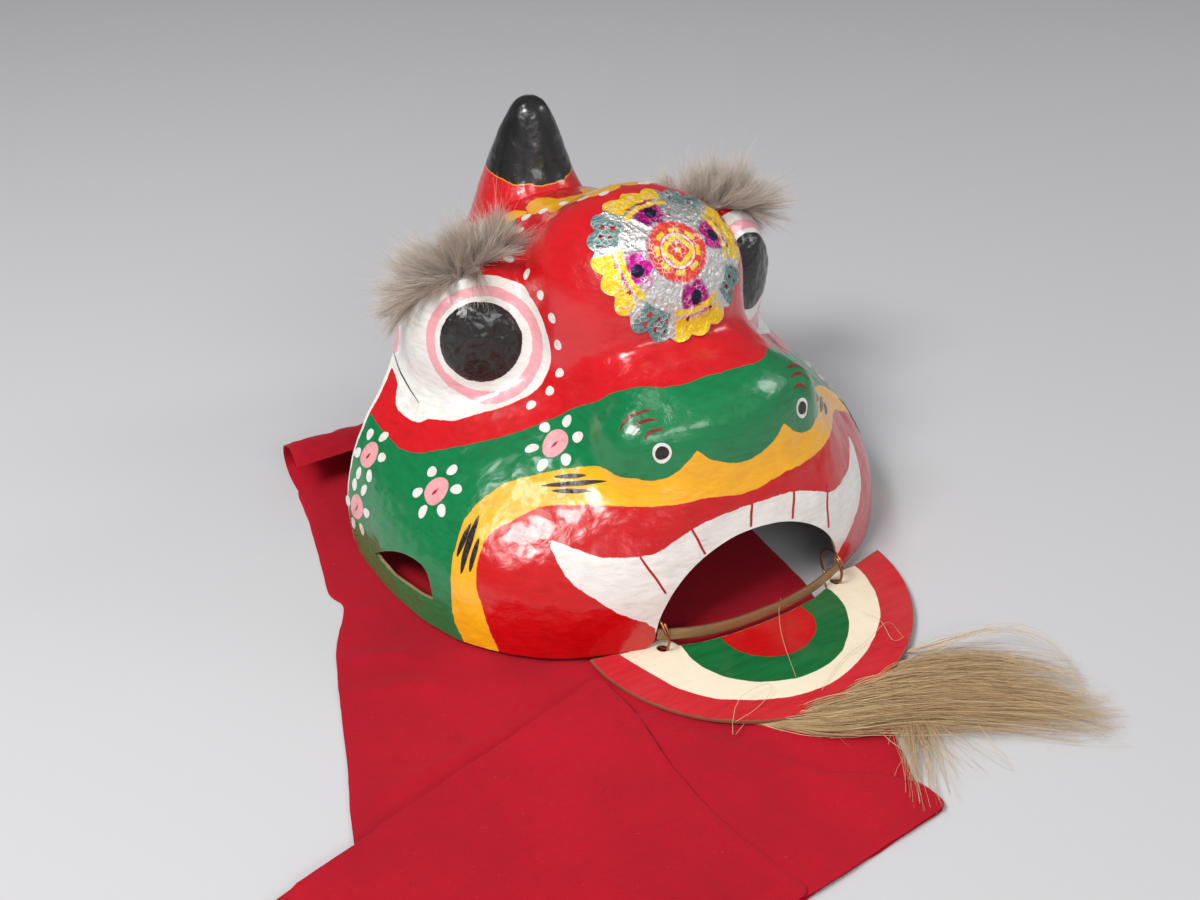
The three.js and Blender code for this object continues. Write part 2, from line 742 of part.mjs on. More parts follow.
const lionHead = new THREE.Group();
lionHead.add(
  piece("mask_shell", maskShell(), RED_PAINT),
  piece("horn", horn(), BLACK_PAINT),
  piece("brow_left", brow(-1), FUR),
  piece("brow_right", brow(1), FUR),
  piece("medallion", medallion(), FOIL),
  piece("cane_strip", cane(), CANE_WOOD),
  piece("wire_ring_left", wireRing(), COPPER, -RING_X, HINGE_Y, HINGE_Z),
  piece("wire_ring_right", wireRing(), COPPER, RING_X, HINGE_Y, HINGE_Z),
  piece("jaw_plate", jawPlate(), BOARD),
  piece("beard", beard(), FIBRE),
  piece("cloth", cloth(), COTTON),
);

export default lionHead;
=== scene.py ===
import math

import bmesh
import bpy
import numpy as np
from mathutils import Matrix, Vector, noise
from mathutils.geometry import delaunay_2d_cdt


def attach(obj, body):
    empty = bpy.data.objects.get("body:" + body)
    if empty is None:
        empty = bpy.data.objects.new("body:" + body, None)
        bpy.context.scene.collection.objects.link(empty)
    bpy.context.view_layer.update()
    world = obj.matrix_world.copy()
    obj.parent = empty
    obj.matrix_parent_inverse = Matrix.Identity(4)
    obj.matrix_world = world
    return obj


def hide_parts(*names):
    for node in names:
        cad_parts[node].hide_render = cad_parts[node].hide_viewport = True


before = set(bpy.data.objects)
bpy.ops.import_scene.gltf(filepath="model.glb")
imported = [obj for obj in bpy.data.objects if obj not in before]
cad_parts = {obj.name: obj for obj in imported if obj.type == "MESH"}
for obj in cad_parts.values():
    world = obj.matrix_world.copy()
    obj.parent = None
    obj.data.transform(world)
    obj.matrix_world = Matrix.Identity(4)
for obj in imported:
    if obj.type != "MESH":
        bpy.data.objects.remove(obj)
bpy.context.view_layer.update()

# Tables are in millimetres, Blender's objects in metres. Pixels are of a 1200 by 900 picture.

MM = 0.001
PICTURE_CENTRE = (600.0, 450.0)
FOCAL_PIXELS = 1420.0
SENSOR_MM = 36.0
CAMERA = np.array((-391.0, -530.0, 545.0))
AZIMUTH = math.radians(-29.5)
ELEVATION = math.radians(33.7)
SIDEWAYS = np.array((math.cos(AZIMUTH), math.sin(AZIMUTH), 0.0))
BACKWARDS = np.array(
    (
        math.sin(AZIMUTH) * math.cos(ELEVATION),
        -math.cos(AZIMUTH) * math.cos(ELEVATION),
        math.sin(ELEVATION),
    )
)
UPWARDS = np.cross(BACKWARDS, SIDEWAYS)


def sight_lines(pixels):
    """Directions from the camera through pixels."""
    pixels = np.atleast_2d(np.asarray(pixels, float))
    across = (pixels[:, :1] - PICTURE_CENTRE[0]) / FOCAL_PIXELS
    down = (pixels[:, 1:2] - PICTURE_CENTRE[1]) / FOCAL_PIXELS
    lines = -BACKWARDS + SIDEWAYS * across - UPWARDS * down
    return lines / np.linalg.norm(lines, axis=1, keepdims=True)


def on_level(pixels, height):
    """Where the sight lines meet a level, or one level for each pixel."""
    lines = sight_lines(pixels)
    reach = (np.asarray(height, float) - CAMERA[2]) / lines[:, 2]
    return CAMERA + lines * reach[:, None]


def smooth_step(low, high, value):
    share = np.clip((np.asarray(value, float) - low) / (high - low), 0, 1)
    return share * share * (3 - 2 * share)


def spline(points, per, closed=False):
    """A smooth curve through points, with so many steps for each span."""
    points = np.asarray(points, float)
    if closed:
        padded = np.vstack((points[-1:], points, points[:2]))
    else:
        padded = np.vstack((2 * points[0] - points[1], points, 2 * points[-1] - points[-2]))
    a, b, c, d = padded[:-3], padded[1:-2], padded[2:-1], padded[3:]
    t = np.linspace(0, 1, per, endpoint=False)[:, None, None]
    curve = 0.5 * (2 * b + (c - a) * t + (2 * a - 5 * b + 4 * c - d) * t**2 + (3 * b - a - 3 * c + d) * t**3)
    curve = curve.transpose(1, 0, 2).reshape(-1, points.shape[1])
    return curve if closed else np.vstack((curve, points[-1:]))


def edge_distance(points, outline):
    """Distance to a closed outline in its plane, positive inside."""
    nearest = np.full(len(points), np.inf)
    inside = np.zeros(len(points), bool)
    for start, end in zip(outline, np.roll(outline, -1, axis=0)):
        edge = end - start
        from_start = points - start
        share = np.clip(from_start @ edge / max(edge @ edge, 1e-12), 0, 1)
        nearest = np.minimum(nearest, np.linalg.norm(from_start - share[:, None] * edge, axis=1))
        crosses = (start[1] > points[:, 1]) != (end[1] > points[:, 1])
        if start[1] != end[1]:
            meets = start[0] + (points[:, 1] - start[1]) * edge[0] / edge[1]
            inside ^= crosses & (points[:, 0] < meets)
    return np.where(inside, nearest, -nearest)


def rough(points, scale, seed=0.0, octaves=3):
    """Soft noise about 0 at points, features about one scale wide."""
    shift = Vector((seed * 7.3, seed * 3.1, seed * 5.7))
    at = [Vector(p) / scale + shift for p in points]
    return np.array([noise.fractal(p, 1.0, 2.0, octaves) for p in at])


# Pieces


def make_piece(name, points, faces, body, material, sharp=None, layers=None, closed=True):
    mesh = bpy.data.meshes.new(name)
    mesh.from_pydata((np.asarray(points) * MM).tolist(), [], [list(face) for face in faces])
    mesh.validate()
    if closed:
        shape = bmesh.new()
        shape.from_mesh(mesh)
        bmesh.ops.recalc_face_normals(shape, faces=shape.faces)
        shape.to_mesh(mesh)
        shape.free()
    piece = bpy.data.objects.new(name, mesh)
    bpy.context.scene.collection.objects.link(piece)
    for layer, values in (layers or {}).items():
        attribute = mesh.attributes.new(layer, "FLOAT", "POINT")
        attribute.data.foreach_set("value", np.asarray(values, np.float32))
    finish_piece(piece, body, material, sharp)
    return piece


def finish_piece(piece, body, material, sharp=None):
    piece.data.materials.clear()
    piece.data.materials.append(material)
    piece.data.shade_smooth()
    if sharp is not None:
        piece.data.set_sharp_from_angle(angle=math.radians(sharp))
    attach(piece, body)


def strip_faces(rows, columns, first=0, closed=False):
    """Quads of a grid whose points run row by row."""
    faces = []
    for row in range(rows - 1):
        for column in range(columns if closed else columns - 1):
            here, beside = row * columns + column, row * columns + (column + 1) % columns
            faces.append((first + here, first + beside, first + beside + columns, first + here + columns))
    return faces


def sweep(centres, sections, closed=False, caps=True):
    """A tube through centres. sections holds a ring of offsets for each centre."""
    count, sides = sections.shape[:2]
    points = (centres[:, None] + sections).reshape(-1, 3)
    faces = strip_faces(count, sides, closed=True)
    if closed:
        last = (count - 1) * sides
        for side in range(sides):
            beside = (side + 1) % sides
            faces.append((last + side, last + beside, beside, side))
    elif caps:
        faces.append(tuple(range(sides))[::-1])
        faces.append(tuple((count - 1) * sides + side for side in range(sides)))
    return points, faces


def unit(vectors):
    vectors = np.asarray(vectors, float)
    return vectors / np.maximum(np.linalg.norm(vectors, axis=-1, keepdims=True), 1e-12)


# Materials: a small writer of shader nodes


class Graph:
    def __init__(self, name):
        self.material = bpy.data.materials.new(name)
        self.material.use_nodes = True
        self.tree = self.material.node_tree
        self.tree.nodes.clear()
        output = self.tree.nodes.new("ShaderNodeOutputMaterial")
        self.shader = self.tree.nodes.new("ShaderNodeBsdfPrincipled")
        self.tree.links.new(self.shader.outputs[0], output.inputs["Surface"])
        self.place = self.node("ShaderNodeTexCoord").outputs["Object"]

    def feed(self, socket, value):
        if isinstance(value, bpy.types.NodeSocket):
            self.tree.links.new(value, socket)
        elif hasattr(value, "__len__") and len(value) == 3 and socket.type == "RGBA":
            socket.default_value = (*value, 1.0)
        else:
            socket.default_value = value

    def node(self, kind, values=None, **settings):
        made = self.tree.nodes.new(kind)
        for key, value in settings.items():
            setattr(made, key, value)
        for key, value in (values or {}).items():
            self.feed(made.inputs[key], value)
        return made

    def set(self, **values):
        for key, value in values.items():
            self.feed(self.shader.inputs[key.replace("_", " ")], value)

    def layer(self, name):
        return self.node("ShaderNodeAttribute", attribute_name=name).outputs["Fac"]

    def sum(self, operation, first, second=0.0, clamp=False):
        made = self.node("ShaderNodeMath", {0: first, 1: second}, operation=operation, use_clamp=clamp)
        return made.outputs[0]

    def span(self, value, low, high, to_low=0.0, to_high=1.0):
        names = ("Value", "From Min", "From Max", "To Min", "To Max")
        made = self.node("ShaderNodeMapRange", dict(zip(names, (value, low, high, to_low, to_high))))
        return made.outputs["Result"]

    def mix(self, share, first, second, way="MIX"):
        made = self.node("ShaderNodeMix", data_type="RGBA", blend_type=way)
        self.feed(made.inputs[0], share)
        self.feed(made.inputs[6], first)
        self.feed(made.inputs[7], second)
        return made.outputs[2]

    def stretched(self, scale, turn=(0.0, 0.0, 0.0)):
        values = {"Vector": self.place, "Scale": scale, "Rotation": turn}
        return self.node("ShaderNodeMapping", values).outputs[0]

    def noise(self, scale, detail=3.0, roughness=0.5, at=None, distortion=0.0):
        values = {"Vector": at or self.place, "Scale": scale, "Detail": detail}
        values.update({"Roughness": roughness, "Distortion": distortion})
        return self.node("ShaderNodeTexNoise", values).outputs["Fac"]

    def bump(self, height, distance, strength=1.0, over=None):
        made = self.node("ShaderNodeBump", {"Height": height, "Distance": distance, "Strength": strength})
        if over is not None:
            self.tree.links.new(over, made.inputs["Normal"])
        return made.outputs[0]


# The mask's form: rounded masses that run into each other

MASSES = (
    {"x": -11, "y": 148, "z": -1, "rx": 165, "ry": 166, "rz": 106, "square": 2.7, "sides": (1,)},
    {"x": 0, "y": 224, "z": 66, "rx": 118, "ry": 92, "rz": 81, "square": 2.4, "sides": (1,)},
    {"x": 0, "y": 185, "z": 104, "rx": 74, "ry": 94, "rz": 80, "square": 2.2, "sides": (1,)},
    {"x": 0, "y": 118, "z": 162, "rx": 62, "ry": 58, "rz": 54, "square": 2.2, "sides": (1,)},
    {"x": 0, "y": 62, "z": 115, "rx": 58, "ry": 60, "rz": 34, "square": 2.4, "sides": (1,)},
    {"x": 44, "y": 35, "z": 110, "rx": 23, "ry": 21, "rz": 22, "square": 2.2, "sides": (-1, 1)},
    {"x": 4, "y": 95, "z": 55, "rx": 81, "ry": 100, "rz": 62, "square": 3, "sides": (1,)},
    {"x": 82, "y": 173, "z": 131, "rx": 41, "ry": 42, "rz": 44, "square": 2.2, "sides": (-1, 1)},
)
BLEND = 8
WALL = 3.0
EAR = np.array((0.0, 160.0, 1.8))
RIM_TILT = math.degrees(math.atan2(4.2, 180.0))
SIDE_LEAN, CROWN_LEAN, LEAN_POWER = 111.0, 142.0, 4.4
SIDE_SHARE = 0.985
SHELL_ACROSS, SHELL_ALONG = 336, 212
FAR_OUT = 330.0


def mask_field(points):
    """Below 1 inside the mask, 1 on its skin, above 1 outside."""
    total = 0.0
    for mass in MASSES:
        for side in mass["sides"]:
            reach = (
                np.abs((points[..., 0] - side * mass["x"]) / mass["rx"]) ** mass["square"]
                + np.abs((points[..., 1] - mass["y"]) / mass["ry"]) ** mass["square"]
                + np.abs((points[..., 2] - mass["z"]) / mass["rz"]) ** mass["square"]
            )
            total = total + np.maximum(reach, 1e-9) ** (-BLEND / mass["square"])
    return total ** (-1 / BLEND)


def mask_slope(points, step=0.1):
    slope = [mask_field(points + axis * step) - mask_field(points - axis * step) for axis in np.eye(3)]
    return np.stack(slope, axis=-1) / (2 * step)


def halve(starts, lines, outer, inner, rounds=18):
    for _ in range(rounds):
        middle = (outer + inner) / 2
        deep = mask_field(starts + lines * middle[:, None]) < 1
        inner = np.where(deep, middle, inner)
        outer = np.where(deep, outer, middle)
    return starts + lines * ((outer + inner) / 2)[:, None]


def cast(starts, lines, reaches):
    """Where each line first meets the skin, or else passes nearest to it."""
    values = np.stack([mask_field(starts + lines * reach) for reach in reaches])
    inside = values < 1
    first = np.maximum(inside.argmax(axis=0), 1)
    met = halve(starts, lines, reaches[first - 1], reaches[first])
    nearest = starts + lines * reaches[values.argmin(axis=0)][:, None]
    return np.where(inside.any(axis=0)[:, None], met, nearest)


def skin_from_ear(lines):
    return cast(EAR, unit(lines), np.arange(FAR_OUT, 0, -2.0))


def skin_at(pixels):
    return cast(CAMERA, sight_lines(pixels), np.arange(450.0, 1200.0, 2.0))


def fan_lines(across, up):
    """Directions that fan out from the ear line: across from side to side, up from the rim."""
    turn = np.radians(90 * across)
    lean = SIDE_LEAN + (CROWN_LEAN - SIDE_LEAN) * np.cos(turn) ** LEAN_POWER
    rise = np.radians(RIM_TILT + (lean - RIM_TILT) * up)
    return np.stack((np.sin(turn), -np.cos(turn) * np.cos(rise), np.cos(turn) * np.sin(rise)), axis=-1)


def fan_grid(columns, rows):
    across, up = np.meshgrid(np.linspace(-SIDE_SHARE, SIDE_SHARE, columns + 1), np.linspace(0, 1, rows + 1))
    return fan_lines(across, up).reshape(-1, 3)


def shell_skin():
    """The skin on the fine grid: a coarse grid is cast, and its reach brackets the fine one."""
    ratio = 4
    columns, rows = SHELL_ACROSS // ratio, SHELL_ALONG // ratio
    coarse = skin_from_ear(fan_grid(columns, rows)) - EAR
    reach = np.linalg.norm(coarse, axis=1).reshape(rows + 1, columns + 1)
    spread = np.arange(SHELL_ACROSS + 1) / ratio
    wide = np.stack([np.interp(spread, np.arange(columns + 1), row) for row in reach])
    climb = np.arange(SHELL_ALONG + 1) / ratio
    fine = np.stack([np.interp(climb, np.arange(rows + 1), column) for column in wide.T], axis=1).ravel()
    lines = fan_grid(SHELL_ACROSS, SHELL_ALONG)
    slack = 12.0
    outer, inner = fine + slack, fine - slack
    unsure = (mask_field(EAR + lines * outer[:, None]) < 1) | (mask_field(EAR + lines * inner[:, None]) > 1)
    skin = halve(EAR, lines, outer, inner)
    if unsure.any():
        skin[unsure] = skin_from_ear(lines[unsure])
    return skin


def shell_mesh():
    skin = shell_skin()
    normals = unit(mask_slope(skin))
    columns, rows = SHELL_ACROSS + 1, SHELL_ALONG + 1
    normals[:columns, 2] = 0
    normals = unit(normals)
    half_columns, half_rows = SHELL_ACROSS // 2 + 1, SHELL_ALONG // 2 + 1
    every = (np.arange(half_rows)[:, None] * 2 * columns + np.arange(half_columns)[None] * 2).ravel()
    lining = (skin - WALL * normals)[every]
    faces = strip_faces(rows, columns)
    first = len(skin)
    faces += [face[::-1] for face in strip_faces(half_rows, half_columns, first)]

    def zip_edge(far, near):
        for step in range(len(near) - 1):
            a, b, c = far[2 * step], far[2 * step + 1], far[2 * step + 2]
            p, q = near[step], near[step + 1]
            faces.extend(((b, a, p), (b, p, q), (c, b, q)))

    low, near_low = list(range(columns)), [first + spot for spot in range(half_columns)]
    top = [(rows - 1) * columns + spot for spot in range(columns)]
    near_top = [first + (half_rows - 1) * half_columns + spot for spot in range(half_columns)]
    left = [row * columns for row in range(rows)]
    near_left = [first + row * half_columns for row in range(half_rows)]
    right = [spot + columns - 1 for spot in left]
    near_right = [spot + half_columns - 1 for spot in near_left]
    zip_edge(low, near_low)
    zip_edge(top[::-1], near_top[::-1])
    zip_edge(left[::-1], near_left[::-1])
    zip_edge(right, near_right)
    return np.vstack((skin, lining)), faces


# Openings cut through the shell

MOUTH_HALF, MOUTH_TOP, MOUTH_FOOT, RIM_FRONT = 65.0, 65.0, 4.5, 6.0
SLOT = {"rear": (128, 17), "top": (88, 47), "front": (64, 22), "low": 17}


def mouth_outline():
    foot = RIM_FRONT + MOUTH_FOOT
    left = [(-MOUTH_HALF - MOUTH_FOOT, -10), (-MOUTH_HALF - MOUTH_FOOT, RIM_FRONT + 0.5)]
    turns = np.linspace(math.pi, 0, 65)
    arch = [(MOUTH_HALF * math.cos(turn), foot + (MOUTH_TOP - foot) * math.sin(turn)) for turn in turns]
    return np.array(left + arch + [(-x, z) for x, z in left[::-1]])


def slot_outline():
    def quadratic(start, pull, end):
        t = np.linspace(0, 1, 14, endpoint=False)[:, None]
        start, pull, end = (np.array(p, float) for p in (start, pull, end))
        return (1 - t) ** 2 * start + 2 * t * (1 - t) * pull + t**2 * end

    rear, top, front = SLOT["rear"], SLOT["top"], SLOT["front"]
    peak = (top[0], top[1] - 8)
    parts = [
        quadratic(rear, ((rear[0] + front[0]) / 2, SLOT["low"]), front),
        quadratic(front, (top[0] - 20, top[1] - 4), peak),
        quadratic(peak, (top[0] + 16, top[1] - 10), rear),
    ]
    return np.vstack(parts)


def prism(name, outline, place):
    """A closed cutter between two copies of an outline. place(point, end) gives the points."""
    count = len(outline)
    points = [place(point, end) for end in (0, 1) for point in outline]
    faces = [tuple(range(count))[::-1], tuple(range(count, 2 * count))]
    faces += [(a, (a + 1) % count, count + (a + 1) % count, count + a) for a in range(count)]
    mesh = bpy.data.meshes.new(name)
    mesh.from_pydata([[value * MM for value in point] for point in points], [], faces)
    shape = bmesh.new()
    shape.from_mesh(mesh)
    bmesh.ops.recalc_face_normals(shape, faces=shape.faces)
    shape.to_mesh(mesh)
    shape.free()
    cutter = bpy.data.objects.new(name, mesh)
    bpy.context.scene.collection.objects.link(cutter)
    return cutter


def cut_openings(piece):
    cutters = [prism("mouth_cutter", mouth_outline(), lambda p, end: (p[0], -60 + 105 * end, p[1]))]
    for side in (-1, 1):
        def place(p, end):
            return side * (110 + 90 * end), p[0], p[1]

        cutters.append(prism("slot_cutter", slot_outline(), place))
    for cutter in cutters:
        change = piece.modifiers.new("cut", "BOOLEAN")
        change.operation = "DIFFERENCE"
        change.solver = "MANIFOLD"
        change.object = cutter
    apply_modifiers(piece)
    for cutter in cutters:
        bpy.data.objects.remove(cutter)


def apply_modifiers(piece):
    bpy.context.view_layer.update()
    evaluated = piece.evaluated_get(bpy.context.evaluated_depsgraph_get())
    mesh = bpy.data.meshes.new_from_object(evaluated)
    piece.modifiers.clear()
    old = piece.data
    piece.data = mesh
    mesh.name = piece.name
    bpy.data.meshes.remove(old)


def mesh_points(piece):
    points = np.zeros(3 * len(piece.data.vertices), np.float32)
    piece.data.vertices.foreach_get("co", points)
    return points.reshape(-1, 3).astype(float) / MM


# Paint on the mask. Outlines are pixels of the near half; the far half mirrors it.

CHART_POLE = np.array((0.0, -math.cos(math.radians(50)), math.sin(math.radians(50))))
CHART_SIDE = np.array((1.0, 0.0, 0.0))
CHART_RISE = np.cross(CHART_POLE, CHART_SIDE)

GREEN_TOP = (
    (372, 414), (379, 426), (390, 438), (401, 449), (416, 453), (426, 452), (455, 447),
    (484, 441), (512, 434),
    (541, 423), (560, 415), (579, 406), (595, 402), (611, 393), (629, 389), (647, 386),
    (659, 388), (683, 385),
    (698, 379), (714, 374), (724, 373), (738, 375),
)
YELLOW_TOP = (
    (457, 625), (452, 607), (452, 561), (455, 549), (460, 532), (465, 519), (474, 507),
    (485, 496), (503, 484),
    (518, 479), (541, 473), (560, 469), (579, 467), (596, 466), (606, 469), (614, 474),
    (623, 478), (635, 478),
    (649, 481), (663, 479), (679, 471), (690, 459), (697, 451), (704, 456), (714, 460),
    (728, 463), (740, 463),
)
MOUTH_RED_TOP = (
    (491, 635), (485, 618), (481, 603), (477, 590), (477, 567), (481, 551), (487, 537),
    (499, 527), (512, 521),
    (531, 510), (547, 506), (570, 505), (598, 505), (640, 507), (679, 504), (708, 498),
    (732, 495), (741, 494),
)
TEETH_TOP = (
    (548, 539), (560, 543), (581, 551), (598, 557), (608, 558), (640, 557), (659, 552),
    (673, 543), (686, 534),
    (708, 521), (728, 513), (741, 508),
)
TEETH_LOW = (
    (552, 551), (558, 563), (566, 576), (577, 588), (594, 599), (614, 611), (630, 618),
    (646, 623), (655, 628),
)
EYE_WHITE = (
    (488, 275), (501, 277), (519, 283), (526, 289), (542, 318), (551, 352), (547, 373),
    (536, 389), (519, 400),
    (495, 409), (469, 416), (451, 421), (429, 419), (417, 422), (402, 414), (396, 405),
    (396, 393), (397, 380),
    (389, 361), (387, 346), (387, 329), (394, 315), (415, 295), (450, 278),
)
EYE_PINK_PATCH = ((386, 318), (397, 322), (398, 338), (396, 352), (389, 350), (385, 336))
CROWN_YELLOW = (
    ((526, 206), (534, 199), (546, 197), (558, 199), (572, 196), (590, 191), (606, 186),
    (618, 183), (620, 188),
     (604, 193), (586, 198), (566, 204), (548, 211), (534, 214), (528, 211)),
    ((500, 221), (507, 213), (517, 210), (527, 213), (520, 217), (511, 221), (504, 224)),
)
CROWN_GREEN = (((506, 222), (516, 219), (513, 226), (508, 232), (504, 229)),)
DOTS = (
    (604, 193), (583, 198), (564, 204), (543, 211), (526, 217), (519, 231), (511, 247),
    (509, 259), (527, 274),
    (541, 295), (552, 318), (558, 345), (560, 373), (550, 391), (531, 405),
)
FLOWERS = ((555, 443), (436, 491), (369, 455), (357, 507))
NOSTRIL = (662, 453)
PUPIL = (481, 344)
PUPIL_RADIUS = 24.6
PINK_RING = (483, 346)
RING_INNER, RING_OUTER = 29.0, 35.0
SEPARATORS = (
    ((640, 557), (656, 579), (672, 602)), ((692, 529), (700, 544), (709, 561)), ((752, 504),
    (751, 520), (751, 537)),
    ((794, 491), (793, 511), (792, 530)), ((826, 484), (827, 515), (829, 546)),
)
NOSTRIL_STROKES = (
    ((617, 434), (627, 419), (640, 412), (654, 409)),
    ((632, 435), (639, 423), (648, 420), (659, 419)),
    ((644, 440), (649, 433), (656, 430), (665, 429)),
)
DIAMONDS = (
    ((554, 477), (586, 475), 2.6), ((541, 486), (607, 481), 2.8), ((551, 491), (592, 491), 2.6),
    ((471, 523), (457, 557), 3.0), ((479, 515), (461, 574), 3.6), ((479, 538), (470, 572), 2.8),
)
EYELID = ((393, 352), (399, 368), (407, 384), (419, 403))
PIXEL_ON_SKIN = 0.56


def chart(lines):
    """Directions on a flat chart that keeps small shapes true."""
    lines = unit(lines)
    ahead = 1 + lines @ CHART_POLE
    return np.stack((lines @ CHART_SIDE, lines @ CHART_RISE), axis=-1) / ahead[:, None]


def chart_pixels(pixels):
    return chart(skin_at(pixels) - EAR)


class Canvas:
    """The near half's skin point, chart place and chart scale for each point of the shell."""

    def __init__(self, points):
        lines = points - EAR
        reach = np.linalg.norm(lines, axis=1)
        lines = unit(lines)
        lines[:, 0] = -np.abs(lines[:, 0])
        slack = 26.0
        self.points = halve(EAR, lines, reach + slack, np.maximum(reach - slack, 1.0), 16)
        self.chart = chart(lines)
        normals = unit(mask_slope(self.points))
        facing = np.clip((normals * lines).sum(axis=1), 0.2, 1)
        reach = np.linalg.norm(self.points - EAR, axis=1)
        self.scale = reach * 2 / (1 + (self.chart**2).sum(axis=1)) / np.sqrt(facing)

    def region(self, outline):
        return edge_distance(self.chart, outline) * self.scale


def paint_layers(points):
    canvas = Canvas(points)
    slope = mask_slope(points)
    steep = np.linalg.norm(slope, axis=1)
    depth = (mask_field(points) - 1) / np.maximum(steep, 1e-6)
    low, wide = -3.0, 1.2

    def below(top, start, end):
        line = spline(chart_pixels(top), 4)
        return canvas.region(np.vstack((start, line, end)))

    first, last = chart_pixels((GREEN_TOP[0], GREEN_TOP[-1]))
    west = ((first[0] - wide, low), (first[0] - wide, first[1] + 0.35))
    green = below(GREEN_TOP, west, ((wide, last[1]), (wide, low)))
    west = ((chart_pixels(YELLOW_TOP[:1])[0][0] - 0.02, low),)
    last = chart_pixels(YELLOW_TOP[-1:])[0]
    yellow = below(YELLOW_TOP, west, ((wide, last[1]), (wide, low)))
    west = ((chart_pixels(MOUTH_RED_TOP[:1])[0][0] + 0.01, low),)
    last = chart_pixels(MOUTH_RED_TOP[-1:])[0]
    mouth = below(MOUTH_RED_TOP, west, ((wide, last[1]), (wide, low)))
    teeth_top, teeth_low = spline(chart_pixels(TEETH_TOP), 4), spline(chart_pixels(TEETH_LOW), 4)
    corners = ((wide, teeth_top[-1][1]), (wide, low), (teeth_low[-1][0], low))
    teeth = canvas.region(np.vstack((teeth_top, corners, teeth_low[::-1])))
    crown = [canvas.region(spline(chart_pixels(patch), 3, closed=True)) for patch in CROWN_YELLOW]
    yellow = np.maximum.reduce([yellow, *crown])
    crown = [canvas.region(spline(chart_pixels(patch), 3, closed=True)) for patch in CROWN_GREEN]
    green = np.maximum.reduce([green, *crown])

    pupil = skin_at((PUPIL,))[0]
    white = np.maximum(teeth, canvas.region(spline(chart_pixels(EYE_WHITE), 4, closed=True)))
    from_pupil = np.linalg.norm(canvas.points - pupil, axis=1)
    from_ring = np.linalg.norm(canvas.points - skin_at((PINK_RING,))[0], axis=1)
    pink = np.minimum(from_ring - RING_INNER, RING_OUTER - from_ring)
    pink = np.maximum(pink, canvas.region(spline(chart_pixels(EYE_PINK_PATCH), 3, closed=True)))
    return {
        "depth": depth, "green": green, "yellow": yellow, "mouth": mouth, "white": white, "pink": pink,
        "black": PUPIL_RADIUS - from_pupil, "from_pupil": from_pupil,
    }


# Small painted marks: thin raised strokes that follow the skin


def from_chart(spots):
    size = (spots**2).sum(axis=1, keepdims=True)
    return ((1 - size) * CHART_POLE + 2 * spots @ np.stack((CHART_SIDE, CHART_RISE))) / (1 + size)


def blob(centre, radii, turn=0.0, uneven=0.06, seed=0.0, tip=0.0, count=26):
    """A round or drop-shaped outline on the skin about a centre, on the chart."""
    normal = unit(mask_slope(centre[None]))[0]
    side = unit(np.cross(normal, (0.0, 0.0, 1.0)))
    rise = np.cross(side, normal)
    angle = np.linspace(0, 2 * math.pi, count, endpoint=False)
    reach = 1 + uneven * np.sin(2 * angle + seed) + 0.6 * uneven * np.sin(3 * angle + 2.3 * seed)
    x, y = radii[0] * reach * np.cos(angle), radii[1] * reach * np.sin(angle)
    x = x * (1 - tip * np.clip(y / radii[1], 0, 1))
    spin = (math.cos(turn) * x - math.sin(turn) * y, math.sin(turn) * x + math.cos(turn) * y)
    return chart(centre + spin[0][:, None] * side + spin[1][:, None] * rise - EAR)


def brush_line(pixels, half_width, taper=1.0, steps=5):
    """The outline of a brush stroke through pixels, on the chart, as far as the mouth's edge."""
    line = spline(skin_at(pixels), steps)
    line = line[edge_distance(line[:, (0, 2)], mouth_outline()) < -1.2]
    run = np.linspace(0, 1, len(line))
    along = unit(np.gradient(line, axis=0))
    across = unit(np.cross(along, unit(mask_slope(line))))
    width = half_width * (1 - taper * np.abs(2 * run - 1) ** 1.8) + 0.06
    wander = 1 + 0.18 * np.sin(9 * run + pixels[0][0])
    edges = [line + across * (width * wander)[:, None], (line - across * (width / wander)[:, None])[::-1]]
    return chart(np.vstack(edges) - EAR)


def lens(ends, half_width, seed):
    """The outline of a thin diamond between two pixels."""
    start, end = skin_at(ends)
    middle = (start + end) / 2
    along = (end - start) / 2
    across = unit(np.cross(along, mask_slope(middle[None])[0])) * half_width
    share = np.linspace(0, 2 * math.pi, 28, endpoint=False)
    bow = np.sign(np.sin(share)) * np.abs(np.sin(share)) ** (1.35 + 0.2 * math.sin(seed))
    points = middle + np.cos(share)[:, None] * along + bow[:, None] * across
    return chart(points - EAR)


def mark_solids(outlines, lift, spacing, sides=(1, -1)):
    """Thin closed solids over chart outlines, on both halves of the mask or on one."""
    points, faces = [], []
    for outline in outlines:
        centre = skin_from_ear(from_chart(outline.mean(axis=0)[None]))
        scale = np.linalg.norm(centre - EAR) * 2 / (1 + (outline.mean(axis=0) ** 2).sum())
        flat, triangles = flat_mesh(outline * scale, spacing, margin=0.35)
        lines = from_chart(flat / scale)
        for side in sides:
            there = skin_from_ear(lines * (side, 1, 1))
            normals = unit(mask_slope(there))
            there = dented(there, normals)
            first = sum(len(p) for p in points)
            upper, lower = there + lift * normals, there - 0.35 * normals
            points.append(np.vstack((upper, lower)))
            level = np.zeros(len(flat))
            faces += [[spot + first for spot in face] for face in thicken(flat, triangles, level, level)[1]]
    return np.vstack(points), faces


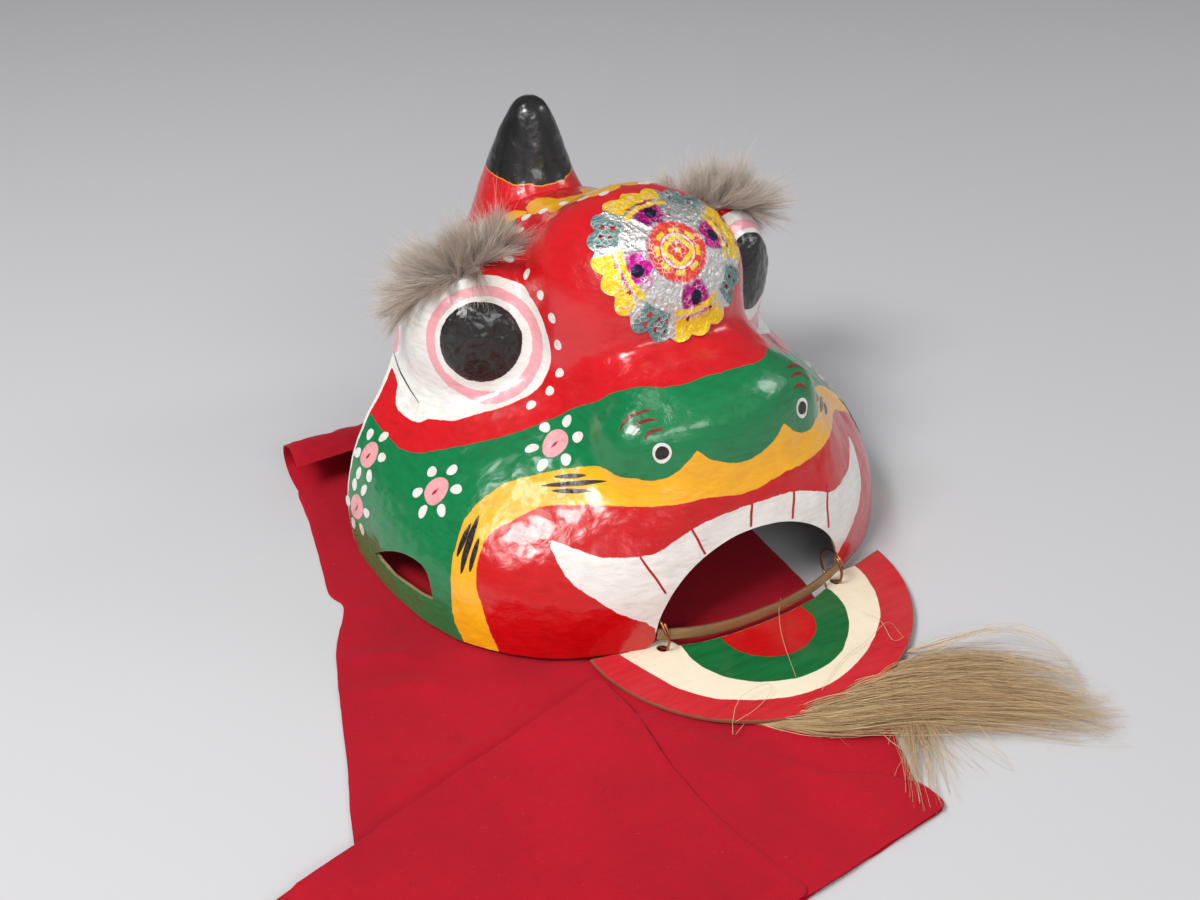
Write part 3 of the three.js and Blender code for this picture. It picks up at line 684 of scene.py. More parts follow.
def brushed_paint(name, low, high, wear=0.0):
    g = Graph(name)
    strokes = g.noise(1.0, 4, 0.6, g.stretched((110, 110, 380), (0.3, 0.5, 0.2)), 0.4)
    colour = g.mix(g.span(strokes, 0.35, 0.7), low, high)
    if wear:
        worn = g.sum("MULTIPLY", g.span(g.noise(260, 4), 0.62, 0.70), wear)
        colour = g.mix(worn, colour, (0.30, 0.17, 0.10))
    g.set(Base_Color=colour, Roughness=g.span(g.noise(70, 3), 0.3, 0.7, 0.20, 0.36))
    g.set(Normal=g.bump(g.sum("ADD", strokes, g.noise(160, 5, distortion=0.8)), 0.0007, 0.7))
    g.set(Coat_Weight=0.3, Coat_Roughness=0.08)
    return g.material


def build_marks():
    white, discs, drops = [], [], []
    for spot, centre in enumerate(skin_at(DOTS)):
        white.append(blob(centre, (3.4, 2.9), spot, 0.08, spot * 1.7))
    for spot, centre in enumerate(skin_at(FLOWERS)):
        normal = unit(mask_slope(centre[None]))[0]
        side = unit(np.cross(normal, (0.0, 0.0, 1.0)))
        rise = np.cross(side, normal)
        discs.append(blob(centre, (7.8, 9.0), 0.2 * spot, 0.05, spot))
        drops.append(blob(centre - 0.5 * rise, (0.9, 2.8), 0.25, 0.05, spot, 0.75))
        for petal in range(6):
            turn = math.radians(60 * petal + 22 + 8 * spot)
            place = centre + 13.6 * (math.cos(turn) * side + 1.08 * math.sin(turn) * rise)
            white.append(blob(place, (3.1, 3.9), turn - math.pi / 2, 0.07, petal + spot))
    nostril = skin_at((NOSTRIL,))[0]
    white.append(blob(nostril, (5.4, 5.9), 0.2, 0.04))
    lines = [brush_line(line, 0.65, 0.15) for line in SEPARATORS]
    dark = [brush_line(line, 1.0) for line in NOSTRIL_STROKES]
    black = [blob(nostril, (3.7, 4.1), 0.2, 0.05, 2.0), brush_line(EYELID, 0.4, 0.8)]
    black += [lens(row[:2], row[2] * PIXEL_ON_SKIN, spot) for spot, row in enumerate(DIAMONDS)]
    rows = (
        ("white_dots", white, 0.16, 0.9, ((0.86, 0.84, 0.80), (0.72, 0.68, 0.62), 0.25)),
        ("pink_flowers", discs, 0.16, 1.2, ((0.86, 0.42, 0.44), (0.76, 0.30, 0.33), 0.3)),
        ("red_drops", drops, 0.26, 0.7, ((0.50, 0.006, 0.012), (0.38, 0.002, 0.006))),
        ("teeth_lines", lines, 0.26, 0.7, ((0.46, 0.006, 0.012), (0.34, 0.002, 0.006))),
        ("dark_strokes", dark, 0.18, 0.7, ((0.26, 0.012, 0.010), (0.17, 0.006, 0.005))),
        ("black_strokes", black, 0.26, 0.7, ((0.020, 0.014, 0.010), (0.008, 0.006, 0.006))),
    )
    for name, outlines, lift, spacing, tones in rows:
        sides = (1,) if name == "teeth_lines" else (1, -1)
        points, faces = mark_solids(outlines, lift, spacing, sides)
        make_piece(name, points, faces, "head", brushed_paint(name + "_paint", *tones), sharp=40)


def rear_border(points):
    """How far up the fan a point lies: 0 at the rim, 1 at the rear edge."""
    lines = unit(points - EAR)
    turn = np.arcsin(np.clip(lines[:, 0], -1, 1))
    lean = SIDE_LEAN + (CROWN_LEAN - SIDE_LEAN) * np.cos(turn) ** LEAN_POWER
    rise = np.degrees(np.arctan2(lines[:, 2], -lines[:, 1]))
    return (rise - RIM_TILT) / (lean - RIM_TILT)


def mask_paint():
    g = Graph("lacquered_papier_mache")
    wobble = g.sum("MULTIPLY", g.sum("SUBTRACT", g.noise(170, 2), 0.5), 1.6)
    fine = g.sum("MULTIPLY", g.sum("SUBTRACT", g.noise(700, 2), 0.5), 0.5)
    wobble = g.sum("ADD", wobble, fine)

    def region(name, low=-0.15, high=0.15):
        return g.span(g.sum("ADD", g.layer(name), wobble), low, high)

    strokes = g.noise(1.0, 4, 0.6, g.stretched((90, 90, 420), (0.3, 0.5, 0.2)), 0.4)
    broad = g.noise(22, 3, 0.55)
    shades = {
        "red": ((0.66, 0.008, 0.014), (0.50, 0.002, 0.006)),
        "green": ((0.003, 0.205, 0.062), (0.001, 0.130, 0.036)),
        "yellow": ((0.95, 0.47, 0.010), (0.86, 0.34, 0.006)),
        "mouth": ((0.60, 0.002, 0.004), (0.44, 0.0, 0.001)),
        "white": ((0.86, 0.84, 0.80), (0.66, 0.61, 0.54)),
        "pink": ((0.87, 0.40, 0.44), (0.78, 0.28, 0.32)),
        "black": ((0.016, 0.013, 0.012), (0.008, 0.007, 0.007)),
        "paper": ((0.42, 0.26, 0.12), (0.25, 0.14, 0.07)),
    }
    brushed = g.sum("MULTIPLY", g.span(strokes, 0.42, 0.72), g.span(broad, 0.30, 0.75, 0.25, 1.0))
    tone = {name: g.mix(brushed, *pair) for name, pair in shades.items()}
    colour = tone["red"]
    for name in ("green", "yellow", "mouth", "white", "pink", "black"):
        colour = g.mix(region(name), colour, tone[name])
    chips = g.span(g.noise(95, 4, 0.7), 0.765, 0.785)
    colour = g.mix(g.sum("MULTIPLY", chips, 0.7), colour, tone["paper"])
    edge = g.span(g.sum("ADD", g.layer("depth"), g.sum("MULTIPLY", wobble, 0.5)), -1.1, -0.7, 1.0, 0.0)
    colour = g.mix(edge, colour, tone["paper"])
    # Painted shade: the lining's inner face is coloured near black so the inside of the head looks dark. The
    # raw paper it is made of is much lighter.
    lining = g.span(g.layer("depth"), -2.95, -2.6, 1.0, 0.0)
    inside = g.mix(g.noise(60, 4), (0.018, 0.009, 0.007), (0.045, 0.022, 0.015))
    colour = g.mix(lining, colour, inside)
    soot = g.span(g.noise(11, 5, 0.65), 0.52, 0.80, 0.0, 0.22)
    colour = g.mix(soot, colour, (0.05, 0.02, 0.015))
    gloss = g.span(g.noise(45, 4), 0.3, 0.75, 0.15, 0.26)
    gloss = g.sum("ADD", gloss, g.sum("MULTIPLY", edge, 0.5))
    wrinkle = g.noise(120, 6, 0.62, distortion=0.9)
    dents = g.noise(38, 3, 0.5)
    paper = g.sum("ADD", g.sum("MULTIPLY", wrinkle, 0.5), g.sum("MULTIPLY", dents, 1.4))
    crumple = g.node("ShaderNodeTexVoronoi", {"Vector": g.place, "Scale": 150.0}, feature="DISTANCE_TO_EDGE")
    on_pupil = g.span(g.layer("from_pupil"), PUPIL_RADIUS - 2, PUPIL_RADIUS, 1.0, 0.0)
    paper = g.sum("ADD", paper, g.sum("MULTIPLY", g.sum("MULTIPLY", crumple.outputs[0], on_pupil), 1.1))
    paper = g.sum("ADD", paper, g.sum("MULTIPLY", strokes, 0.10))
    g.set(Base_Color=colour, Roughness=gloss, Normal=g.bump(paper, 0.0011, 0.9))
    g.set(Coat_Weight=0.45, Coat_Roughness=0.08, Specular_IOR_Level=0.5)
    return g.material


def dented(points, normals):
    """The skin's own unevenness, as pasted paper has it."""
    dent = 0.75 * rough(points, 34, 1) + 0.28 * rough(points, 11, 2) + 0.1 * rough(points, 4.5, 3)
    return points + normals * dent[:, None]


def build_mask():
    points, faces = shell_mesh()
    paint = mask_paint()
    piece = make_piece("mask_skin", points, faces, "head", paint)
    cut_openings(piece)
    exact = mesh_points(piece)
    layers = paint_layers(exact)
    border = rear_border(exact)
    layers["white"] = np.maximum(layers["white"], np.where(layers["depth"] > -1, (border - 0.984) * 190, -9))
    for layer, values in layers.items():
        attribute = piece.data.attributes.new(layer, "FLOAT", "POINT")
        attribute.data.foreach_set("value", values.astype(np.float32))
    normals = unit(mask_slope(exact))
    moved = dented(exact, normals)
    on_pupil = 1 - smooth_step(PUPIL_RADIUS - 3, PUPIL_RADIUS, layers["from_pupil"])
    moved += normals * (on_pupil * (1.0 + 0.7 * rough(exact, 7, 4)))[:, None]
    piece.data.vertices.foreach_set("co", (moved * MM).astype(np.float32).ravel())
    finish_piece(piece, "head", paint, 42)
    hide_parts("mask_shell")


# Horn: a cone that flares into the crown

HORN_FOOT = np.array((0.0, 262.0, 112.0))
HORN_TIP = np.array((0.0, 252.0, 231.0))
HORN_PROFILE = (
    (0, 44), (30, 40), (58, 33), (85, 24), (105, 16), (115, 11), (118.5, 7), (120.5, 3), (121, 0.2),
)
HORN_PAINT_LINE = 74.0


def build_horn():
    axis = unit(HORN_TIP - HORN_FOOT)
    side = np.array((1.0, 0.0, 0.0))
    ahead = np.cross(axis, side)
    profile = spline(HORN_PROFILE, 14)
    spokes = 120
    heights, rims = [], []
    for spoke in range(spokes):
        turn = 2 * math.pi * spoke / spokes
        outward = math.cos(turn) * side + math.sin(turn) * ahead
        rim = HORN_FOOT + profile[:, :1] * axis + profile[:, 1:] * outward
        start = profile[np.argmax(mask_field(rim) > 1.0), 0]
        steps = np.concatenate((np.linspace(0, 0.22, 9, endpoint=False), np.linspace(0.22, 1, 52)))
        height = start + (profile[-1, 0] - start) * steps
        radius = np.interp(height, profile[:, 0], profile[:, 1])
        rise = height - start
        flare = 5.5 * np.exp(-rise / 5.0)
        path = HORN_FOOT + height[:, None] * axis + (radius + flare)[:, None] * outward
        foot = path[0]
        slope = unit(mask_slope(foot[None]))[0]
        sink = (mask_field(foot[None])[0] - 1) / max(np.linalg.norm(mask_slope(foot[None])[0]), 1e-6)
        path -= slope * (sink + 0.4) * np.exp(-rise / 4.0)[:, None]
        rims.append(path)
        heights.append(height)
    points = np.stack(rims, axis=1).reshape(-1, 3)
    height = np.stack(heights, axis=1).ravel()
    shape = points + unit(points - HORN_FOOT - height[:, None] * axis) * (
        0.5 * rough(points, 16, 5)[:, None] + 0.18 * rough(points, 5, 6)[:, None]
    )
    g = Graph("horn_lacquer")
    ragged = g.sum("MULTIPLY", g.sum("SUBTRACT", g.noise(60, 3), 0.5), 5.0)
    level = g.sum("ADD", g.layer("height"), ragged)
    streaks = g.noise(1.0, 4, 0.6, g.stretched((160, 160, 26)), 0.3)
    brushed = g.span(streaks, 0.35, 0.7)
    red = g.mix(brushed, (0.70, 0.016, 0.022), (0.54, 0.004, 0.008))
    black = g.mix(brushed, (0.020, 0.018, 0.018), (0.006, 0.006, 0.006))
    colour = g.mix(g.span(level, HORN_PAINT_LINE - 0.9, HORN_PAINT_LINE - 0.6), red, (0.72, 0.36, 0.02))
    colour = g.mix(g.span(level, HORN_PAINT_LINE - 0.3, HORN_PAINT_LINE), colour, black)
    crease = g.sum("ADD", g.noise(110, 6, 0.62, distortion=0.8), g.sum("MULTIPLY", streaks, 0.6))
    g.set(Base_Color=colour, Roughness=g.span(g.noise(50, 4), 0.3, 0.75, 0.16, 0.36))
    g.set(Normal=g.bump(crease, 0.0008, 0.7), Coat_Weight=0.4, Coat_Roughness=0.06)
    piece = make_piece(
        "horn_cone", shape, strip_faces(len(steps), spokes, closed=True), "head", g.material,
        layers={"height": height},
    )
    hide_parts("horn")


# Strands: flat ribbons that stand in for hairs and fibres


def ribbons(paths, sides, widths):
    """Ribbons along paths, each a row of points, turned to sides."""
    count, steps = paths.shape[:2]
    offset = sides * widths[..., None] / 2
    points = np.stack((paths - offset, paths + offset), axis=2).reshape(-1, 3)
    base = (np.arange(count)[:, None] * steps + np.arange(steps - 1)[None]).ravel() * 2
    faces = np.stack((base, base + 1, base + 3, base + 2), axis=1)
    return points, faces.tolist()


BROW_LINE = ((56, 178, 174), (78, 164, 178), (98, 160, 174), (114, 168, 164), (124, 190, 146))
BROW_HAIRS = 9500
BROW_CLUMPS = 210


def fur_material():
    g = Graph("brow_fur")
    shade = g.mix(g.layer("tone"), (0.30, 0.24, 0.20), (0.74, 0.65, 0.55))
    root = g.span(g.layer("share"), 0.0, 0.45, 0.6, 1.0)
    grey = g.node("ShaderNodeCombineColor", {0: root, 1: root, 2: root}).outputs[0]
    colour = g.mix(1.0, shade, grey, "MULTIPLY")
    tip = g.span(g.layer("share"), 0.7, 1.0, 0.0, 0.35)
    colour = g.mix(tip, colour, (0.62, 0.54, 0.46))
    g.set(Base_Color=colour, Roughness=0.62, Sheen_Weight=0.35, Sheen_Roughness=0.4)
    return g.material


def build_brow(side, fur, random):
    roots = skin_from_ear(np.array(BROW_LINE) * (side, 1, 1) - EAR)
    line = spline(roots, 40)
    tangents = unit(np.gradient(line, axis=0))
    normals = unit(mask_slope(line))
    rises = unit(np.cross(normals, tangents)) * side

    def frame_at(share):
        spot = np.clip((share * (len(line) - 1)).astype(int), 0, len(line) - 1)
        return line[spot], tangents[spot], normals[spot], rises[spot]

    def flow(share, level, jitter):
        """Which way a hair grows: up over the top half, down over the low half, out at the far end."""
        _, along, out, rise = frame_at(share)
        lean = -0.15 + 1.05 * share**1.5
        way = 0.55 * out + (0.25 + 0.75 * level)[:, None] * rise + lean[:, None] * along
        return unit(way + jitter)

    clump_share = random.random(BROW_CLUMPS)
    clump_level = random.uniform(-1, 1, BROW_CLUMPS)
    clump_way = flow(clump_share, clump_level, random.normal(0, 0.30, (BROW_CLUMPS, 3)))
    middle_bulge = 0.75 + 0.5 * np.sin(np.pi * np.clip(clump_share, 0.1, 0.95))
    clump_length = random.uniform(20, 35, BROW_CLUMPS) * middle_bulge
    share = random.random(BROW_HAIRS)
    level = random.uniform(-1, 1, BROW_HAIRS)
    gap = np.hypot((share[:, None] - clump_share) * 95, (level[:, None] - clump_level) * 7)
    own = gap.argmin(axis=1)
    start, _, out, rise = frame_at(share)
    width = 5.5 * (0.5 + 0.5 * np.sin(np.pi * np.clip(share, 0.05, 0.95)) ** 0.5)
    start = start + (level * width)[:, None] * rise + 0.3 * out
    way = unit(flow(share, level, random.normal(0, 0.22, (BROW_HAIRS, 3))) * 0.45 + clump_way[own] * 0.75)
    length = clump_length[own] * random.uniform(0.55, 1.08, BROW_HAIRS)
    stray = random.random(BROW_HAIRS) < 0.04
    length = np.where(stray, length * 1.35, length)
    steps = 6
    t = np.linspace(0, 1, steps)[None, :, None]
    droop = random.normal(0, 0.10, (BROW_HAIRS, 1, 3)) + np.array((0, 0, -0.10))
    curl = droop * length[:, None, None] * t**2
    paths = start[:, None] + way[:, None] * length[:, None, None] * t + curl
    tip = paths[:, -1]
    middle = np.zeros((BROW_CLUMPS, 3))
    count = np.bincount(own, minlength=BROW_CLUMPS)[:, None]
    for axis in range(3):
        middle[:, axis] = np.bincount(own, tip[:, axis], BROW_CLUMPS)
    middle /= np.maximum(count, 1)
    pull = np.where(stray, 0.0, random.uniform(0.2, 0.6, BROW_HAIRS))
    paths += (middle[own] - tip)[:, None] * (pull[:, None, None] * t**1.5)
    sides = unit(np.cross(way, random.normal(0, 1, (BROW_HAIRS, 3))))
    widths = random.uniform(0.16, 0.30, BROW_HAIRS)[:, None] * np.linspace(1.0, 0.25, steps)
    points, faces = ribbons(paths, np.repeat(sides[:, None], steps, axis=1), widths)
    tone = random.normal(0.55, 0.2, BROW_HAIRS) + 0.25 * (random.random(BROW_CLUMPS)[own] - 0.5)
    layers = {
        "tone": np.repeat(np.clip(tone, 0, 1), 2 * steps),
        "share": np.tile(np.repeat(np.linspace(0, 1, steps), 2), BROW_HAIRS),
    }
    name = "left" if side < 0 else "right"
    piece = make_piece("brow_fur_" + name, points, faces, "head", fur, layers=layers, closed=False)
    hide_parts("brow_" + name)


def build_brow_pads(hide):
    """The leather strips that carry the fur."""
    for side, name in ((-1, "left"), (1, "right")):
        roots = skin_from_ear(np.array(BROW_LINE) * (side, 1, 1) - EAR)
        line = spline(roots, 12)
        along = unit(np.gradient(line, axis=0))
        normals = unit(mask_slope(line))
        rises = unit(np.cross(normals, along))
        turns = np.linspace(0, 2 * math.pi, 14, endpoint=False)
        taper = 0.5 + 0.5 * np.sin(np.linspace(0.15, math.pi - 0.15, len(line))) ** 0.5
        sections = np.stack(
            [
                (np.cos(turn) * 5.5 * taper)[:, None] * rises + (1.0 + np.sin(turn) * 1.3) * normals
                for turn in turns
            ],
            axis=1,
        )
        points, faces = sweep(line, sections)
        make_piece("brow_hide_" + name, points, faces, "head", hide, sharp=50)


# Medallion: scalloped, pierced and tinted foil

MEDALLION = {"centre": (0, 70, 203), "radius": 44.0, "tilt": 45.0, "scallops": 20}
KNOB_RADIUS_SHARE = 0.60


def build_medallion():
    tilt = math.radians(MEDALLION["tilt"])
    facing = np.array((0, -math.cos(tilt), math.sin(tilt)))
    upward = np.array((0, math.sin(tilt), math.cos(tilt)))
    spokes, rings = 288, 58
    shares, turns = np.linspace(0.0, 1.0, rings + 1), np.linspace(0, 2 * math.pi, spokes, endpoint=False)
    share, turn = np.meshgrid(shares, turns, indexing="ij")
    share, turn = share.ravel(), turn.ravel()
    scallop = 1 + 0.05 * share**4 * np.abs(np.sin(MEDALLION["scallops"] / 2 * turn)) * 1.6 - 0.03 * share**4
    uneven = 1 + 0.03 * share * np.sin(3 * turn + 0.6)
    reach = MEDALLION["radius"] * share * scallop * uneven
    flat = np.stack((reach * np.cos(turn), reach * np.sin(turn)), axis=1)
    start = np.array(MEDALLION["centre"], float) + flat[:, :1] * (1, 0, 0) + flat[:, 1:] * upward
    skin = cast(start - 60 * facing, np.tile(facing, (len(start), 1)), np.arange(120, -2, -2.0))
    normals = unit(mask_slope(skin))

    def knob(angle):
        at = MEDALLION["radius"] * KNOB_RADIUS_SHARE
        return np.array((at * math.cos(angle), at * math.sin(angle)))

    quarter = [math.radians(a) for a in (10, 100, 190, 280)]
    near_knob = np.min([np.linalg.norm(flat - knob(a), axis=1) for a in quarter], axis=0)
    knob_turn = np.select(
        [np.cos(turn - a) > math.cos(math.radians(45)) for a in quarter], [turn - a for a in quarter], turn
    )
    knob_turn = (knob_turn + math.pi) % (2 * math.pi) - math.pi
    span = np.abs(np.degrees(knob_turn))
    ring = reach / MEDALLION["radius"]
    petals = near_knob - (6.5 + 3.8 * np.abs(np.cos(2.5 * np.arctan2(flat[:, 1], flat[:, 0]) * 3)))
    magenta = -petals * (ring > 0.42)
    magenta = np.where(ring > 0.84, -2.0, magenta)
    dark = 3.6 - near_knob
    yellow = np.minimum((ring - 0.80) * 44, (24 - span) * 0.5)
    inner_yellow = np.minimum((ring - 0.66) * 44, np.minimum((0.80 - ring) * 44, (30 - span) * 0.5))
    yellow = np.maximum(yellow, inner_yellow - 1.6)
    teal = np.minimum((ring - 0.74) * 44, (span - 31) * 0.5)
    disc = 17.5 - reach
    spin = (turn + 0.2) % (2 * math.pi)
    eight = np.abs(((spin * 8 / (2 * math.pi)) % 1) - 0.5) * 2
    four = np.abs(((spin * 4 / (2 * math.pi)) % 1) - 0.5) * 2
    gold = np.minimum(1.3 - np.abs(reach - 12.5), (eight - 0.38) * 6)
    gold = np.maximum(gold, np.minimum(1.5 - np.abs(reach - 6.2 - 2.2 * four), 1.0))
    gold = np.maximum(gold, 1.9 - reach)
    silver_cut = 0.55 - np.abs(reach - 9.7)
    crinkle = rough(np.column_stack((flat, np.zeros(len(flat)))), 3.2, 8) * 0.5
    crinkle += rough(np.column_stack((flat * 2.2, np.ones(len(flat)))), 2.4, 9) * 0.25
    lift = 0.9 + 0.5 * np.exp(-(((reach - 19) / 1.2) ** 2)) + 1.6 * np.exp(-((near_knob / 3.0) ** 2))
    lift += 0.7 * np.exp(-((petals / 1.6) ** 2)) + crinkle * (0.5 + 0.5 * smooth_step(0.3, 0.5, ring))
    lift += 0.35 * np.clip(gold, -0.3, 0.5)
    loose = smooth_step(0.86, 1.0, ring)
    lift += loose * (0.5 + 0.8 * rough(skin, 9, 10))
    points = skin + normals * lift[:, None]
    faces = []
    lattice = np.degrees(turn) % 9.0
    in_bands = ((ring > 0.80) & (ring < 0.865)) | ((ring > 0.91) & (ring < 0.965))
    open_work = (teal > 0.6) & (np.abs(lattice - 4.5) < 2.1) & in_bands
    eyelets = (np.abs(span - 13) < 2.6) & (np.abs(ring - 0.80) < 0.030)
    for face in strip_faces(rings + 1, spokes, closed=True):
        if sum(bool(open_work[spot] or eyelets[spot]) for spot in face) >= 3:
            continue
        faces.append(face)
    g = Graph("embossed_foil")
    ragged = g.sum("MULTIPLY", g.sum("SUBTRACT", g.noise(420, 3), 0.5), 1.6)

    def region(name, soft=0.25):
        return g.span(g.sum("ADD", g.layer(name), ragged), -soft, soft)

    worn = g.noise(260, 5, 0.7)
    silver = g.mix(worn, (0.90, 0.89, 0.86), (0.62, 0.60, 0.57))
    colour = g.mix(region("teal"), silver, g.mix(worn, (0.10, 0.20, 0.20), (0.22, 0.34, 0.33)))
    colour = g.mix(region("magenta", 1.6), colour, g.mix(worn, (0.72, 0.015, 0.36), (0.45, 0.02, 0.20)))
    colour = g.mix(region("yellow"), colour, (0.98, 0.62, 0.02))
    colour = g.mix(region("disc"), colour, (0.80, 0.055, 0.035))
    colour = g.mix(region("gold"), colour, (0.98, 0.66, 0.03))
    colour = g.mix(region("cut"), colour, (0.92, 0.90, 0.86))
    cells = g.node("ShaderNodeTexVoronoi", {"Vector": g.place, "Scale": 330.0}, feature="DISTANCE_TO_EDGE")
    cracks = cells.outputs[0]
    flaked = g.sum("MULTIPLY", g.span(cracks, 0.02, 0.06, 1.0, 0.0), g.span(g.noise(130, 3), 0.45, 0.6))
    colour = g.mix(flaked, colour, (0.88, 0.86, 0.82))
    colour = g.mix(region("dark"), colour, (0.030, 0.020, 0.060))
    painted = g.sum("MAXIMUM", region("disc"), g.sum("MAXIMUM", region("yellow"), region("teal")))
    g.set(Base_Color=colour, Metallic=g.span(painted, 0.0, 1.0, 0.85, 0.35))
    g.set(Roughness=g.span(worn, 0.3, 0.7, 0.20, 0.42))
    creased = g.sum("ADD", g.noise(480, 5, 0.65, distortion=0.6), g.sum("MULTIPLY", cracks, -1.2))
    g.set(Normal=g.bump(creased, 0.0007, 0.9))
    piece = make_piece(
        "foil_medallion", points, faces, "head", g.material,
        layers={
            "magenta": magenta, "dark": dark, "yellow": yellow, "teal": teal,
            "disc": disc, "gold": gold, "cut": silver_cut,
        },
    )
    thick = piece.modifiers.new("thickness", "SOLIDIFY")
    thick.thickness = 0.35 * MM
    thick.offset = -1
    apply_modifiers(piece)
    finish_piece(piece, "head", g.material, 60)
    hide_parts("medallion")


# Cane and wire rings

CANE_LINE = ((0, -26.6, 10.4), (20, -26, 10.6), (40, -23.4, 12), (54, -20, 13.6), (63.5, -16.6, 14.6))


def build_cane():
    half = np.array(CANE_LINE, float)
    line = spline(np.vstack((half[:0:-1] * (-1, 1, 1), half)), 16)
    along = unit(np.gradient(line, axis=0))
    out = unit(np.cross(along, (0, 0, 1)))
    rise = np.cross(out, along)
    turns = np.linspace(0, 2 * math.pi, 20, endpoint=False)
    sections = []
    for turn in turns:
        flat = np.sign(math.cos(turn)) * abs(math.cos(turn)) ** 0.45 * 4.0
        thick = np.sign(math.sin(turn)) * abs(math.sin(turn)) ** 0.6 * 0.75
        bow = 0.25 * (1 - (flat / 4.0) ** 2)
        sections.append(flat * rise + (thick + (bow if thick > 0 else 0)) * out)
    points, faces = sweep(line, np.stack(sections, axis=1))
    centre = np.repeat(line, len(turns), axis=0)
    across = ((points - centre) * np.repeat(rise, len(turns), axis=0)).sum(axis=1)
    run = np.repeat(np.linspace(0, 1, len(line)), len(turns))
    points = points + 0.12 * rough(points, 9, 12)[:, None] * np.repeat(rise, len(turns), axis=0)
    g = Graph("split_cane")
    lengthwise = g.sum("MULTIPLY", g.layer("run"), 9.0)
    crosswise = g.sum("MULTIPLY", g.layer("across"), 3.2)
    spot = g.node("ShaderNodeCombineXYZ", {0: lengthwise, 1: crosswise}).outputs[0]
    fibre = g.noise(1.0, 5, 0.65, spot)
    colour = g.mix(g.span(fibre, 0.35, 0.7), (0.42, 0.24, 0.10), (0.24, 0.125, 0.048))
    rim = g.span(g.sum("ABSOLUTE", g.layer("across")), 3.1, 3.9, 0.0, 0.75)
    colour = g.mix(rim, colour, (0.10, 0.045, 0.018))
    colour = g.mix(g.span(g.noise(90, 4), 0.6, 0.75, 0.0, 0.5), colour, (0.16, 0.08, 0.03))
    g.set(Base_Color=colour, Roughness=0.42, Normal=g.bump(fibre, 0.0005, 0.7))
    g.set(Coat_Weight=0.15, Coat_Roughness=0.25)
    layers = {"across": across, "run": run}
    piece = make_piece("cane_hoop", points, faces, "head", g.material, sharp=60, layers=layers)
    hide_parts("cane_strip")


RING = {"x": 61.0, "y": -14.0, "z": 13.1, "radius": 10.5, "wire": 0.8}


def build_rings():
    g = Graph("copper_wire")
    stain = g.noise(240, 4, 0.6)
    g.set(Base_Color=g.mix(stain, (0.52, 0.22, 0.09), (0.22, 0.085, 0.04)), Metallic=1.0)
    g.set(Roughness=g.span(stain, 0.3, 0.7, 0.22, 0.45), Normal=g.bump(g.noise(900, 3), 0.0002, 0.6))
    for side, name in ((-1, "left"), (1, "right")):
        start, sweep_round = math.radians(118), math.radians(396)
        steps = 110
        share = np.linspace(0, 1, steps)
        turn = start + sweep_round * share
        drift = 1.7 * (share - 0.5)
        radius = RING["radius"] + 0.03 * np.sin(3 * turn)
        ys, zs = RING["y"] + radius * np.cos(turn), RING["z"] + radius * np.sin(turn)
        line = np.stack((side * RING["x"] + drift * side, ys, zs), axis=1)
        along = unit(np.gradient(line, axis=0))
        out = unit(line - (side * RING["x"], RING["y"], RING["z"]))
        out = unit(out - (out * along).sum(axis=1)[:, None] * along)
        across = np.cross(along, out)
        turns = np.linspace(0, 2 * math.pi, 12, endpoint=False)
        offsets = [RING["wire"] * (math.cos(t) * out + math.sin(t) * across) for t in turns]
        sections = np.stack(offsets, axis=1)
        points, faces = sweep(line, sections)
        piece = make_piece("hinge_wire_" + name, points, faces, "head", g.material, sharp=60)
        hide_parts("wire_ring_" + name)


# Jaw plate: painted board with rings of colour

PLATE_UNDER, PLATE_TOP = 3.7, 5.7
CREAM_EDGE = (
    (616.6, 652.3), (644.2, 669.6), (672.2, 685), (697.8, 694.4), (725.8, 699.2), (764, 699.5),
    (802.3, 693.9),
    (835.5, 680.4), (861, 658.2), (875, 635.2), (880.4, 614.8), (876.3, 594.4), (863.6, 574), (849.5, 562),
)
JAW_GREEN_EDGE = (
    (672, 632), (679.4, 642.9), (692.7, 659.4), (713, 672.2), (738.6, 679.8), (766.6, 681.6),
    (799.8, 677.3),
    (825.3, 665.8), (840.6, 653), (847, 639), (849, 622.4), (844.4, 605.9), (833, 591.8), (821.5, 586.2),
)
JAW_RED_EDGE = (
    (710, 624), (718.7, 635.2), (733.5, 648), (751.3, 654.6), (771.7, 656.4), (792.1, 653), (807.4, 644.1),
    (815.9, 630.1), (813.8, 617.3), (806.2, 609.7), (796, 603),
)
PLATE_REAR = ((102, -7.7), (80, -12.8), (56, -12.8), (52, -22), (40, -26), (20, -28.6), (0, -29.2))
PLATE_HOLE = {"x": 61.0, "y": -19.08, "radius": 3.8}


